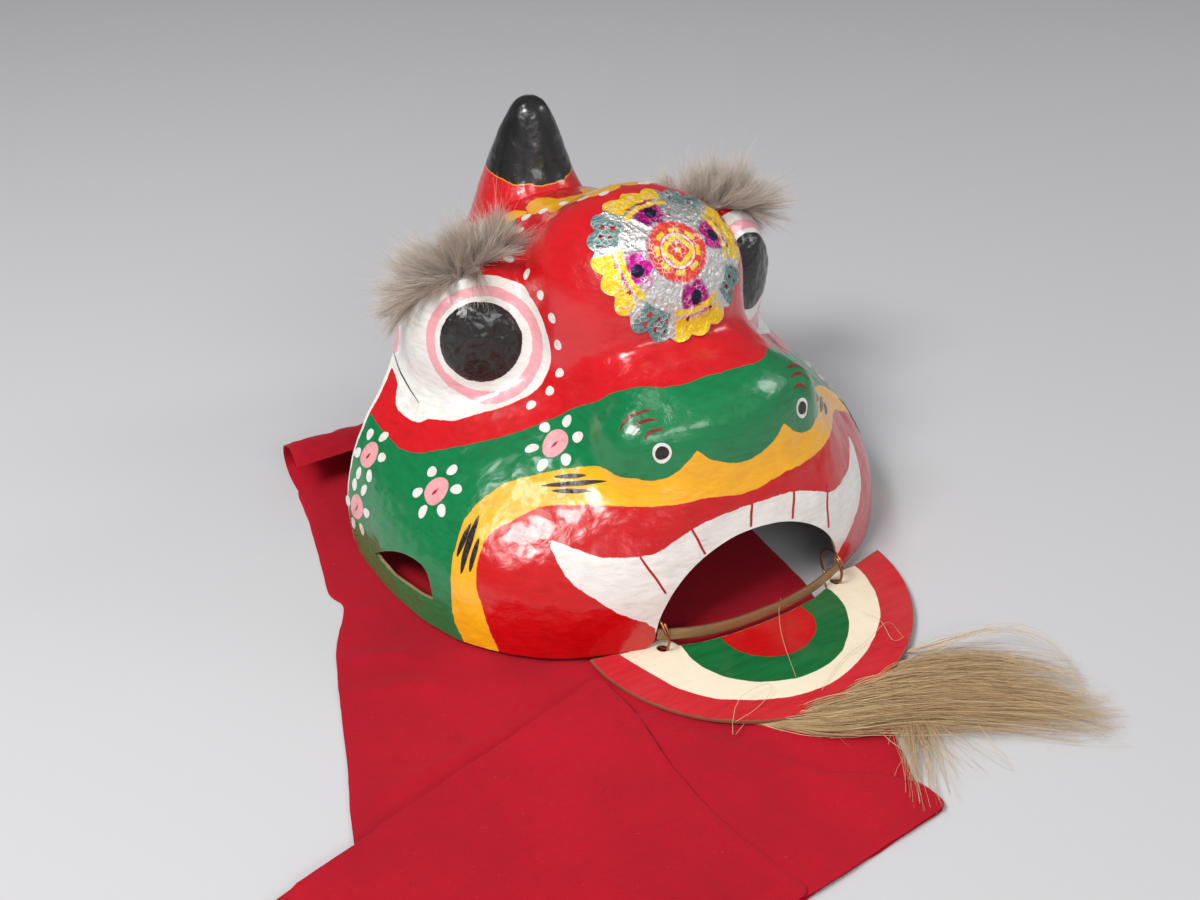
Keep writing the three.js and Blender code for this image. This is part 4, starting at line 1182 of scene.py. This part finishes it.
def flat_mesh(outline, spacing, holes=(), margin=0.55):
    """Points and triangles that fill an outline, with even points inside."""
    loops = [np.asarray(outline, float)] + [np.asarray(hole, float) for hole in holes]
    low, high = loops[0].min(axis=0), loops[0].max(axis=0)
    columns = np.arange(low[0], high[0], spacing)
    rows = np.arange(low[1], high[1], spacing * 0.87)
    grid = np.array([(x + (spacing / 2 if row % 2 else 0), y) for row, y in enumerate(rows) for x in columns])
    keep = edge_distance(grid, loops[0]) > spacing * margin
    for hole in loops[1:]:
        keep &= edge_distance(grid, hole) < -spacing * margin
    inner = grid[keep]
    points = [Vector(p) for loop in loops for p in loop] + [Vector(p) for p in inner]
    faces, first = [], 0
    for spot, loop in enumerate(loops):
        ring = list(range(first, first + len(loop)))
        area = np.sum(loop[:, 0] * np.roll(loop[:, 1], -1) - loop[:, 1] * np.roll(loop[:, 0], -1))
        faces.append(ring if (area > 0) == (spot == 0) else ring[::-1])
        first += len(loop)
    edges = [(ring[a], ring[(a + 1) % len(ring)]) for ring in faces for a in range(len(ring))]
    made = delaunay_2d_cdt(points, edges, [faces[0]], 1, 1e-6)
    flat = np.array([list(p) for p in made[0]])
    triangles = np.array([face for face in made[2] if len(face) == 3])
    centres = flat[triangles].mean(axis=1)
    keep = edge_distance(centres, loops[0]) > 0
    for hole in loops[1:]:
        keep &= edge_distance(centres, hole) < 0
    return flat, triangles[keep]


def thicken(flat, triangles, top, under, rounding=0.0):
    """A closed plate over a flat mesh, between two heights for each point."""
    count = len(flat)
    points = np.vstack((np.column_stack((flat, top)), np.column_stack((flat, under))))
    first = flat[triangles[:, 0]]
    turned = np.cross(flat[triangles[:, 1]] - first, flat[triangles[:, 2]] - first) < 0
    triangles = triangles.copy()
    triangles[turned] = triangles[turned][:, ::-1]
    seen = {}
    for a, b, c in triangles.tolist():
        for edge in ((a, b), (b, c), (c, a)):
            seen[edge] = True
    rim = [edge for edge in seen if (edge[1], edge[0]) not in seen]
    faces = triangles.tolist() + (triangles[:, ::-1] + count).tolist()
    if rounding > 0:
        out = np.zeros((count, 2))
        for a, b in rim:
            normal = np.array((flat[b][1] - flat[a][1], flat[a][0] - flat[b][0]))
            out[a] += normal / max(np.linalg.norm(normal), 1e-9)
            out[b] += normal / max(np.linalg.norm(normal), 1e-9)
        ring = sorted({spot for edge in rim for spot in edge})
        place = {spot: 2 * count + order for order, spot in enumerate(ring)}
        way = unit(out[ring])
        middle = np.column_stack((flat[ring] + way * rounding, (top[ring] + under[ring]) / 2))
        points = np.vstack((points, middle))
        for a, b in rim:
            faces.append((b, a, place[a], place[b]))
            faces.append((place[b], place[a], a + count, b + count))
    else:
        for a, b in rim:
            faces.append((b, a, a + count, b + count))
    return points, faces


def build_jaw_plate():
    rear = list(PLATE_REAR)
    rear += [(-x, y) for x, y in PLATE_REAR[-2::-1]]
    turns = np.linspace(math.pi, 2 * math.pi, 121)[1:-1]
    front = [(102 * math.cos(turn), -8 + 97 * math.sin(turn)) for turn in turns]
    dense = []
    corners = [*rear, *front]
    for start, end in zip(corners, corners[1:] + corners[:1]):
        start, end = np.array(start, float), np.array(end, float)
        steps = max(1, int(np.linalg.norm(end - start) / 2.6))
        dense += [start + (end - start) * step / steps for step in range(steps)]
    outline = np.array(dense)
    holes = []
    for side in (-1, 1):
        round_hole = np.linspace(0, 2 * math.pi, 22, endpoint=False)
        centre = np.array((side * PLATE_HOLE["x"], PLATE_HOLE["y"]))
        circle = np.stack((np.cos(round_hole), np.sin(round_hole)), axis=1)
        holes.append(centre + PLATE_HOLE["radius"] * circle)
    flat, triangles = flat_mesh(outline, 2.2, holes)
    warp = 0.12 * rough(np.column_stack((flat, np.zeros(len(flat)))), 40, 14)
    points, faces = thicken(flat, triangles, PLATE_TOP + warp, PLATE_UNDER + warp, 0.25)

    def ring(pixels):
        edge = spline(on_level(pixels, PLATE_TOP)[:, :2], 5)
        back = np.array(((edge[-1][0], 20.0), (edge[0][0], 20.0)))
        return edge_distance(points[:, :2], np.vstack((edge, back)))

    layers = {"cream": ring(CREAM_EDGE), "green": ring(JAW_GREEN_EDGE), "centre": ring(JAW_RED_EDGE)}
    layers["rim"] = edge_distance(points[:, :2], outline)
    g = Graph("painted_board")
    wobble = g.sum("MULTIPLY", g.sum("SUBTRACT", g.noise(120, 3), 0.5), 1.5)

    def region(name):
        return g.span(g.sum("ADD", g.layer(name), wobble), -0.15, 0.15)

    streaks = g.noise(1.0, 5, 0.6, g.stretched((40, 260, 60), (0, 0, 0.6)), 0.5)
    brushed = g.span(streaks, 0.35, 0.72)
    colour = g.mix(brushed, (0.62, 0.022, 0.032), (0.50, 0.012, 0.020))
    cream = g.mix(g.noise(30, 5, 0.65), (0.96, 0.86, 0.66), (0.82, 0.70, 0.53))
    colour = g.mix(region("cream"), colour, cream)
    colour = g.mix(region("green"), colour, g.mix(brushed, (0.004, 0.155, 0.036), (0.002, 0.10, 0.022)))
    colour = g.mix(region("centre"), colour, g.mix(brushed, (0.58, 0.002, 0.004), (0.46, 0.001, 0.003)))
    worn = g.sum("ADD", g.layer("rim"), g.sum("MULTIPLY", g.sum("SUBTRACT", g.noise(210, 4), 0.55), 3.0))
    colour = g.mix(g.span(worn, 0.1, 0.5, 0.85, 0.0), colour, (0.23, 0.12, 0.06))
    stain = g.span(g.noise(17, 5, 0.6), 0.5, 0.8, 0.0, 0.20)
    colour = g.mix(stain, colour, (0.30, 0.18, 0.12))
    g.set(Base_Color=colour, Roughness=g.span(g.noise(60, 4), 0.3, 0.7, 0.38, 0.55))
    g.set(Normal=g.bump(g.sum("ADD", streaks, g.noise(160, 4)), 0.0004, 0.6), Specular_IOR_Level=0.4)
    piece = make_piece("jaw_board", points, faces, "jaw", g.material, sharp=50, layers=layers)
    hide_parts("jaw_plate")


# Beard: fibres in a swept bundle, with wisps, a loop and stray hairs

BEARD_FULLNESS = 0.62
BEARD_OPENNESS = 1.25
BEARD_LOCKS = (
    {
        "line": ((748, 719, 2.6), (830, 722, 6), (905, 714, 8), (1000, 713, 6), (1062, 717, 4),
            (1122, 714, 3)),
        "count": 420, "spread": 8.0,
    },
    {
        "line": ((775, 715, 2.6), (850, 709, 8), (930, 701, 11), (1010, 702, 8), (1070, 708, 5),
            (1112, 722, 3)),
        "count": 460, "spread": 9.0,
    },
    {
        "line": ((820, 704, 2.6), (890, 692, 9), (950, 686, 12), (1020, 690, 9), (1075, 698, 6),
            (1104, 704, 4)),
        "count": 460, "spread": 9.0,
    },
    {
        "line": ((862, 687, 2.6), (915, 676, 9), (965, 672, 12), (1030, 678, 9), (1082, 690, 6)),
        "count": 380, "spread": 8.0,
    },
    {
        "line": ((893, 668, 2.8), (930, 662, 8), (980, 660, 10), (1040, 668, 9), (1086, 686, 5)),
        "count": 260, "spread": 7.0,
    },
    {
        "line": ((902, 662, 2.8), (906, 695, 7), (913, 735, 6), (922, 778, 4), (930, 814, 3)),
        "count": 170, "spread": 4.5,
    },
    {
        "line": ((900, 668, 2.8), (921, 705, 8), (948, 742, 5), (985, 776, 3)),
        "count": 70, "spread": 7.0,
    },
    {
        "line": ((896, 672, 2.8), (915, 712, 7), (932, 756, 4), (944, 802, 3)),
        "count": 90, "spread": 5.0,
    },
    {
        "line": ((905, 652, 2.8), (935, 644, 9), (975, 634, 14), (1012, 630, 18), (1045, 641, 16),
            (1068, 664, 9), (1086, 690, 4)),
        "count": 26, "spread": 3.0,
    },
)
STRAYS = (
    ((748, 719, 3), (733, 735, 6), (738, 700, 12), (765, 684, 12), (772, 690, 9), (757, 708, 7),
    (735, 722, 7)),
    ((905, 640, 5), (888, 622, 9), (868, 640, 9), (842, 660, 8), (822, 690, 7)),
    ((906, 636, 5), (893, 640, 9), (880, 620, 10), (862, 612, 9)),
    ((781, 598, 9.5), (779, 614, 12), (783, 640, 9), (796, 677, 6.5)),
    ((905, 655, 4), (935, 652, 15), (955, 640, 22), (970, 632, 24)),
    ((820, 704, 3), (842, 740, 6), (875, 762, 4)),
    ((862, 690, 3), (880, 730, 6), (905, 752, 4)),
    ((1060, 700, 5), (1090, 722, 6), (1108, 740, 3)),
    ((1020, 700, 6), (1050, 726, 6), (1046, 748, 3)),
    ((960, 700, 7), (990, 740, 8), (1012, 770, 3)),
)


def build_beard():
    random = np.random.default_rng(31)
    g = Graph("bast_fibre")
    colour = g.mix(g.layer("tone"), (0.38, 0.22, 0.095), (0.74, 0.55, 0.30))
    colour = g.mix(g.span(g.noise(70, 3), 0.4, 0.7, 0.0, 0.35), colour, (0.40, 0.25, 0.12))
    g.set(Base_Color=colour, Roughness=0.5, Sheen_Weight=0.2, Sheen_Roughness=0.4)
    steps = 18
    t = np.linspace(0, 1, steps)
    all_paths, all_widths, all_tones = [], [], []
    for row in BEARD_LOCKS:
        line = np.array(row["line"], float)
        guide = spline(on_level(line[:, :2], line[:, 2]), 24)
        gaps = np.linalg.norm(np.diff(guide, axis=0), axis=1)
        along = np.concatenate(((0,), np.cumsum(gaps))) / gaps.sum()
        count = int(row["count"] * BEARD_FULLNESS)
        reach = random.uniform(0.55, 1.04, count) * np.where(random.random(count) < 0.15, 0.7, 1)
        at = np.clip(reach[:, None] * t[None], 0, 1)
        paths = np.stack([np.interp(at, along, guide[:, axis]) for axis in range(3)], axis=2)
        spread = BEARD_OPENNESS * row["spread"] * np.sqrt(random.random(count))
        angle = random.uniform(0, 2 * math.pi, count)
        heading = unit(guide[-1] - guide[0])
        aside = unit(np.cross(heading, (0, 0, 1)))
        fan = 0.35 + 0.75 * smooth_step(0, 0.35, t) + 0.9 * t**3
        offset = (spread * np.cos(angle))[:, None] * fan
        lift = (0.42 * spread * np.sin(angle))[:, None] * fan * smooth_step(0, 0.3, t)
        sway = random.normal(0, 1.7, (count, 1)) * np.sin(math.pi * t * random.uniform(0.8, 2.6, (count, 1)))
        frizz = np.cumsum(random.normal(0, 0.26, (count, steps)), axis=1)
        paths = paths + (offset + 1.5 * sway + 1.1 * frizz * t)[..., None] * aside
        paths[..., 2] += lift + 0.5 * frizz * t
        paths[..., 2] = np.maximum(paths[..., 2], 3.2 - 1.4 * smooth_step(-30, 30, paths[..., 1] + 260))
        all_paths.append(paths)
        all_widths.append(random.uniform(0.18, 0.42, (count, 1)) * np.linspace(1, 0.45, steps))
        all_tones.append(np.clip(random.normal(0.55, 0.24, count), 0, 1))
    for row in STRAYS:
        line = np.array(row, float)
        guide = spline(on_level(line[:, :2], line[:, 2]), 24)
        spots = np.linspace(0, len(guide) - 1, steps)
        order = np.arange(len(guide))
        path = np.stack([np.interp(spots, order, guide[:, axis]) for axis in range(3)], axis=1)
        all_paths.append(path[None])
        all_widths.append(np.full((1, steps), 0.26))
        all_tones.append(np.array((0.8,)))
    paths, widths, tones = (np.concatenate(part) for part in (all_paths, all_widths, all_tones))
    under_plate = (edge_distance(paths.reshape(-1, 3)[:, :2], plate_front()) > 0).reshape(paths.shape[:2])
    low = under_plate & (paths[..., 2] < PLATE_TOP + 0.2) & (paths[..., 2] > 2.0)
    bundled = np.zeros(len(paths), bool)
    bundled[: len(paths) - len(STRAYS)] = True
    pressed = np.minimum(paths[..., 2], PLATE_UNDER - 0.3)
    paths[..., 2] = np.where(low & bundled[:, None], pressed, paths[..., 2])
    along = unit(np.gradient(paths, axis=1))
    sides = unit(np.cross(along, random.normal(0, 1, (len(paths), 1, 3)) * (0.35, 0.35, 1.0)))
    points, faces = ribbons(paths, sides, widths)
    layers = {"tone": np.repeat(tones, 2 * steps)}
    piece = make_piece("beard_fibres", points, faces, "jaw", g.material, closed=False, layers=layers)
    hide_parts("beard")


def plate_front():
    turns = np.linspace(math.pi, 2 * math.pi, 41)
    return np.array([(102 * math.cos(turn), -8 + 97 * math.sin(turn)) for turn in turns])


# Cloth: thin cotton in three layers that share their folds, and a curl behind the head

CLOTH_THICKNESS = 0.8
CLOTH_UNDER = (
    (-187, 238), (-120, 240), (-40, 240), (46, 238), (50, 150), (50, 60), (48, -6), (32, -66),
    (15, -126), (0, -166), (3, -187),
    (-89, -197), (-170, -206), (-258, -215), (-266, -68), (-242, 8), (-223, 72), (-202, 111),
    (-208, 122), (-196, 181),
)
CLOTH_OVER = (
    (-107, -25), (-104, -54), (-73, -92), (-52, -121), (-38, -141), (-16, -154), (0, -167),
    (3, -187), (-89, -197),
    (-190, -209), (-290, -219), (-315, -81), (-210, -53),
)
CLOTH_TOP = (
    (-107, -25), (-103, -60), (-105, -90), (-105, -123), (-101, -153), (-90, -197), (-190, -209),
    (-290, -219), (-315, -81), (-210, -53),
)
CURL = ((225, 0.6), (240, 1.0), (252, 4), (259, 12), (257, 23), (248, 29), (238, 28), (230, 23))
CURL_FROM, CURL_TO = -187.0, 46.0


def dense_outline(rows, spacing, seed, wander=0.8):
    corners = np.array(rows, float)
    dense = []
    for start, end in zip(corners, np.roll(corners, -1, axis=0)):
        steps = max(1, int(np.linalg.norm(end - start) / spacing))
        dense += [start + (end - start) * step / steps for step in range(steps)]
    dense = np.array(dense)
    for _ in range(3):
        dense = (np.roll(dense, 1, axis=0) + 2 * dense + np.roll(dense, -1, axis=0)) / 4
    flat = np.column_stack((dense, np.zeros(len(dense))))
    drift = np.stack((rough(flat, 30, seed), rough(flat, 30, seed + 0.5)), axis=1)
    return dense + wander * drift


def creases(flat, rows):
    """Height of soft creases: each row is two ends, a height and a half width."""
    height = np.zeros(len(flat))
    for (x0, y0), (x1, y1), rise, width in rows:
        start, edge = np.array((x0, y0), float), np.array((x1 - x0, y1 - y0), float)
        share = (flat - start) @ edge / (edge @ edge)
        near = np.clip(share, 0, 1)
        gap = np.linalg.norm(flat - start - near[:, None] * edge, axis=1)
        fade = np.sin(math.pi * np.clip(share, 0.02, 0.98)) ** 0.5
        height += rise * fade * np.exp(-((gap / width) ** 2))
    return height


UNDER_CREASES = (
    ((-232, 40), (-100, -8), 3.0, 6), ((-250, -40), (-120, -30), 2.4, 5), ((-225, 70), (-150, 30), 3.0, 5),
    ((-140, -10), (-60, -60), 1.6, 10), ((-30, -120), (-60, -60), 1.2, 8), ((-205, 105),
    (-150, 90), 1.4, 3.5),
    ((-190, 60), (-120, 0), 1.5, 12), ((-10, -130), (-45, -90), 1.4, 7),
)
TOP_CREASES = (
    ((-107, -30), (-240, -140), 1.2, 14), ((-150, -60), (-190, -190), 1.4, 16), ((-120, -130),
    (-220, -120), 0.9, 12),
    ((-20, -170), (-90, -110), 1.3, 9), ((-60, -130), (-100, -90), 1.0, 8),
)


def cloth_layer(rows, seed, crease_rows, spacing=4.0):
    outline = dense_outline(rows, 3.0, seed)
    flat, triangles = flat_mesh(outline, spacing)
    spread = np.column_stack((flat, np.zeros(len(flat))))
    broad, middling = rough(spread, 55, seed + 1), rough(spread, 20, seed + 2)
    fine = rough(spread, 7, seed + 3)
    wave = 0.9 * broad + 0.5 * middling + 0.12 * fine
    calm = smooth_step(-12, 30, -flat[:, 1]) * 0.85 + 0.15
    height = np.maximum(0, (wave + 0.7) * calm + creases(flat, crease_rows))
    edge = edge_distance(flat, outline)
    return flat, triangles, height, edge


def build_cloth():
    parts = []
    flat, triangles, height, _ = cloth_layer(CLOTH_UNDER, 21, UNDER_CREASES)
    rim = np.array([on_cloth_limit(p) for p in flat])
    height = np.minimum(height, rim)
    under = (flat, height)
    parts.append(thicken(flat, triangles, height + CLOTH_THICKNESS, height, 0.3))

    def lying_on(flat, lower):
        table = {}
        cell = 12.0
        for p, z in zip(*lower):
            table.setdefault((int(p[0] // cell), int(p[1] // cell)), []).append(z)
        found = []
        for p in flat:
            column, row = int(p[0] // cell), int(p[1] // cell)
            near = [z for i in (-1, 0, 1) for j in (-1, 0, 1) for z in table.get((column + i, row + j), ())]
            found.append(max(near) if near else 0.0)
        return np.array(found)

    flat, triangles, height, edge = cloth_layer(CLOTH_OVER, 27, TOP_CREASES)
    roll = 0.7 * np.exp(-((np.abs(edge) / 4.0) ** 2))
    height = lying_on(flat, under) + CLOTH_THICKNESS + 0.25 + 0.45 * height + roll
    over = (flat, height)
    parts.append(thicken(flat, triangles, height + CLOTH_THICKNESS, height, 0.6))
    flat, triangles, height, edge = cloth_layer(CLOTH_TOP, 33, TOP_CREASES)
    roll = 0.9 * np.exp(-((np.abs(edge) / 4.5) ** 2))
    height = lying_on(flat, over) + CLOTH_THICKNESS + 0.25 + 0.35 * height + roll
    parts.append(thicken(flat, triangles, height + CLOTH_THICKNESS, height, 0.6))
    parts.append(curl_mesh())
    points, faces = [], []
    for part_points, part_faces in parts:
        first = sum(len(p) for p in points)
        points.append(part_points)
        faces += [[spot + first for spot in face] for face in part_faces]
    points = np.vstack(points)
    g = Graph("red_cotton")
    threads = {"Vector": g.place, "Scale": 420.0, "Distortion": 0.6}
    weave_x = g.node("ShaderNodeTexWave", threads, bands_direction="X")
    weave_y = g.node("ShaderNodeTexWave", threads, bands_direction="Y")
    weave = g.sum("MAXIMUM", weave_x.outputs["Fac"], weave_y.outputs["Fac"])
    broad = g.noise(9, 4, 0.6)
    colour = g.mix(g.span(broad, 0.3, 0.75), (0.50, 0.002, 0.017), (0.34, 0.001, 0.012))
    threads = g.noise(1.0, 3, 0.6, g.stretched((60, 1500, 60)))
    colour = g.mix(g.span(threads, 0.45, 0.75, 0.0, 0.35), colour, (0.30, 0.001, 0.012))
    lint = g.span(g.noise(650, 2, 0.5), 0.74, 0.78, 0.0, 0.2)
    colour = g.mix(lint, colour, (0.85, 0.35, 0.35))
    rumple = g.noise(26, 5, 0.55, distortion=0.5)
    soft = g.bump(rumple, 0.004, 0.5)
    g.set(Base_Color=colour, Roughness=0.82, Normal=g.bump(weave, 0.0003, 0.35, soft), Sheen_Weight=0.25)
    g.set(Sheen_Roughness=0.5, Sheen_Tint=(0.9, 0.25, 0.25), Specular_IOR_Level=0.25)
    piece = make_piece("cotton_cloth", points, faces, "head", g.material, sharp=70)
    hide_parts("cloth")


def on_cloth_limit(p):
    """The most that the cloth may rise at a place, so that it stays clear of what lies on it."""
    x, y = p
    under_rim = 0.75 + 3.4 * float(smooth_step(10, -20, y)) if y > -40 else 4.0
    beside = max(abs(x + 8) - 172, 0, -y - 20)
    return under_rim + 0.25 * min(beside, 12)


def curl_mesh():
    profile = spline(CURL, 8)
    columns = 90
    share = np.linspace(0, 1, columns)
    xs = CURL_FROM + (CURL_TO - CURL_FROM) * share
    low = 1 - 0.65 * share**2
    rows = []
    for y, z in profile:
        line = np.stack((xs, np.full(columns, y), np.maximum(z * low, 0.95)), axis=1)
        rows.append(line)
    grid = np.stack(rows)
    noise_field = rough(grid.reshape(-1, 3), 26, 41).reshape(grid.shape[:2])
    rise = smooth_step(2, 14, grid[..., 2])
    grid[..., 1] += 3.0 * noise_field * rise
    grid[..., 2] += 2.2 * np.roll(noise_field, 7, axis=1) * rise
    tilt = unit(np.cross(np.gradient(grid, axis=0), np.gradient(grid, axis=1)))
    first, second = grid.reshape(-1, 3), (grid + CLOTH_THICKNESS * tilt).reshape(-1, 3)
    count_rows, count = grid.shape[:2]
    size = count_rows * count
    faces = strip_faces(count_rows, count) + [face[::-1] for face in strip_faces(count_rows, count, size)]
    edge = list(range(count))
    edge += [row * count + count - 1 for row in range(1, count_rows)]
    edge += [(count_rows - 1) * count + column for column in range(count - 2, -1, -1)]
    edge += [row * count for row in range(count_rows - 2, 0, -1)]
    for here, beside in zip(edge, edge[1:] + edge[:1]):
        faces.append((beside, here, here + size, beside + size))
    return np.vstack((first, second)), faces


# Floor, light and camera


def build_stage():
    mesh = bpy.data.meshes.new("studio_floor")
    half = 4.0
    corners = [(-half, -half, 0), (half, -half, 0), (half, half, 0), (-half, half, 0)]
    mesh.from_pydata(corners, [], [(0, 1, 2, 3)])
    floor = bpy.data.objects.new("studio_floor", mesh)
    floor.location.z = -0.0003
    bpy.context.scene.collection.objects.link(floor)
    g = Graph("pale_floor")
    g.set(Base_Color=g.mix(g.noise(1.2, 2), (0.60, 0.60, 0.615), (0.63, 0.63, 0.645)), Roughness=0.6)
    mesh.materials.append(g.material)
    return floor


def area_light(name, place, target, size, power, colour=(1, 1, 1)):
    data = bpy.data.lights.new(name, "AREA")
    data.shape = "RECTANGLE"
    data.size, data.size_y = size
    data.energy = power
    data.color = colour
    lamp = bpy.data.objects.new(name, data)
    lamp.location = place
    lamp.rotation_euler = (Vector(target) - Vector(place)).to_track_quat("-Z", "Y").to_euler()
    bpy.context.scene.collection.objects.link(lamp)


def build_light():
    middle = (0.0, 0.08, 0.10)
    area_light("key", (-1.35, -0.35, 1.75), middle, (0.8, 0.6), 36, (1.0, 0.985, 0.97))
    area_light("front", (-0.25, -1.9, 1.25), middle, (1.2, 0.35), 9)
    area_light("right", (1.7, -0.3, 1.3), middle, (0.5, 0.5), 6)
    area_light("window", (-0.9, 0.5, 2.0), middle, (0.6, 0.25), 6)
    world = bpy.data.worlds.new("soft_room")
    world.use_nodes = True
    tree = world.node_tree
    room = tree.nodes["Background"]
    room.inputs["Color"].default_value = (0.80, 0.81, 0.84, 1)
    way = tree.nodes.new("ShaderNodeSeparateXYZ")
    tree.links.new(tree.nodes.new("ShaderNodeTexCoord").outputs["Generated"], way.inputs[0])
    level = tree.nodes.new("ShaderNodeMapRange")
    tree.links.new(way.outputs["Y"], level.inputs["Value"])
    level.inputs["From Min"].default_value, level.inputs["From Max"].default_value = -0.6, 0.5
    level.inputs["To Min"].default_value, level.inputs["To Max"].default_value = 0.50, 0.14
    tree.links.new(level.outputs["Result"], room.inputs["Strength"])
    bpy.context.scene.world = world
    bpy.context.scene.view_settings.view_transform = "Standard"
    bpy.context.scene.view_settings.look = "None"


def build_camera():
    data = bpy.data.cameras.new("camera")
    data.sensor_width = SENSOR_MM
    data.sensor_fit = "HORIZONTAL"
    data.lens = FOCAL_PIXELS / (2 * PICTURE_CENTRE[0]) * SENSOR_MM
    data.clip_start, data.clip_end = 0.01, 20
    camera = bpy.data.objects.new("camera", data)
    camera.location = CAMERA * MM
    aim = Vector(-BACKWARDS)
    camera.rotation_euler = aim.to_track_quat("-Z", "Y").to_euler()
    bpy.context.scene.collection.objects.link(camera)
    bpy.context.scene.camera = camera


def hide_material():
    g = Graph("brow_hide")
    g.set(Base_Color=g.mix(g.noise(140, 4), (0.20, 0.15, 0.12), (0.30, 0.24, 0.19)), Roughness=0.8)
    g.set(Normal=g.bump(g.noise(500, 4), 0.0006, 0.8))
    return g.material


build_camera()
build_light()
build_stage()
build_mask()
build_marks()
build_horn()
brow_random = np.random.default_rng(11)
brow_fur = fur_material()
build_brow(-1, brow_fur, brow_random)
build_brow(1, brow_fur, brow_random)
build_brow_pads(hide_material())
build_medallion()
build_cane()
build_rings()
build_jaw_plate()
build_beard()
build_cloth()
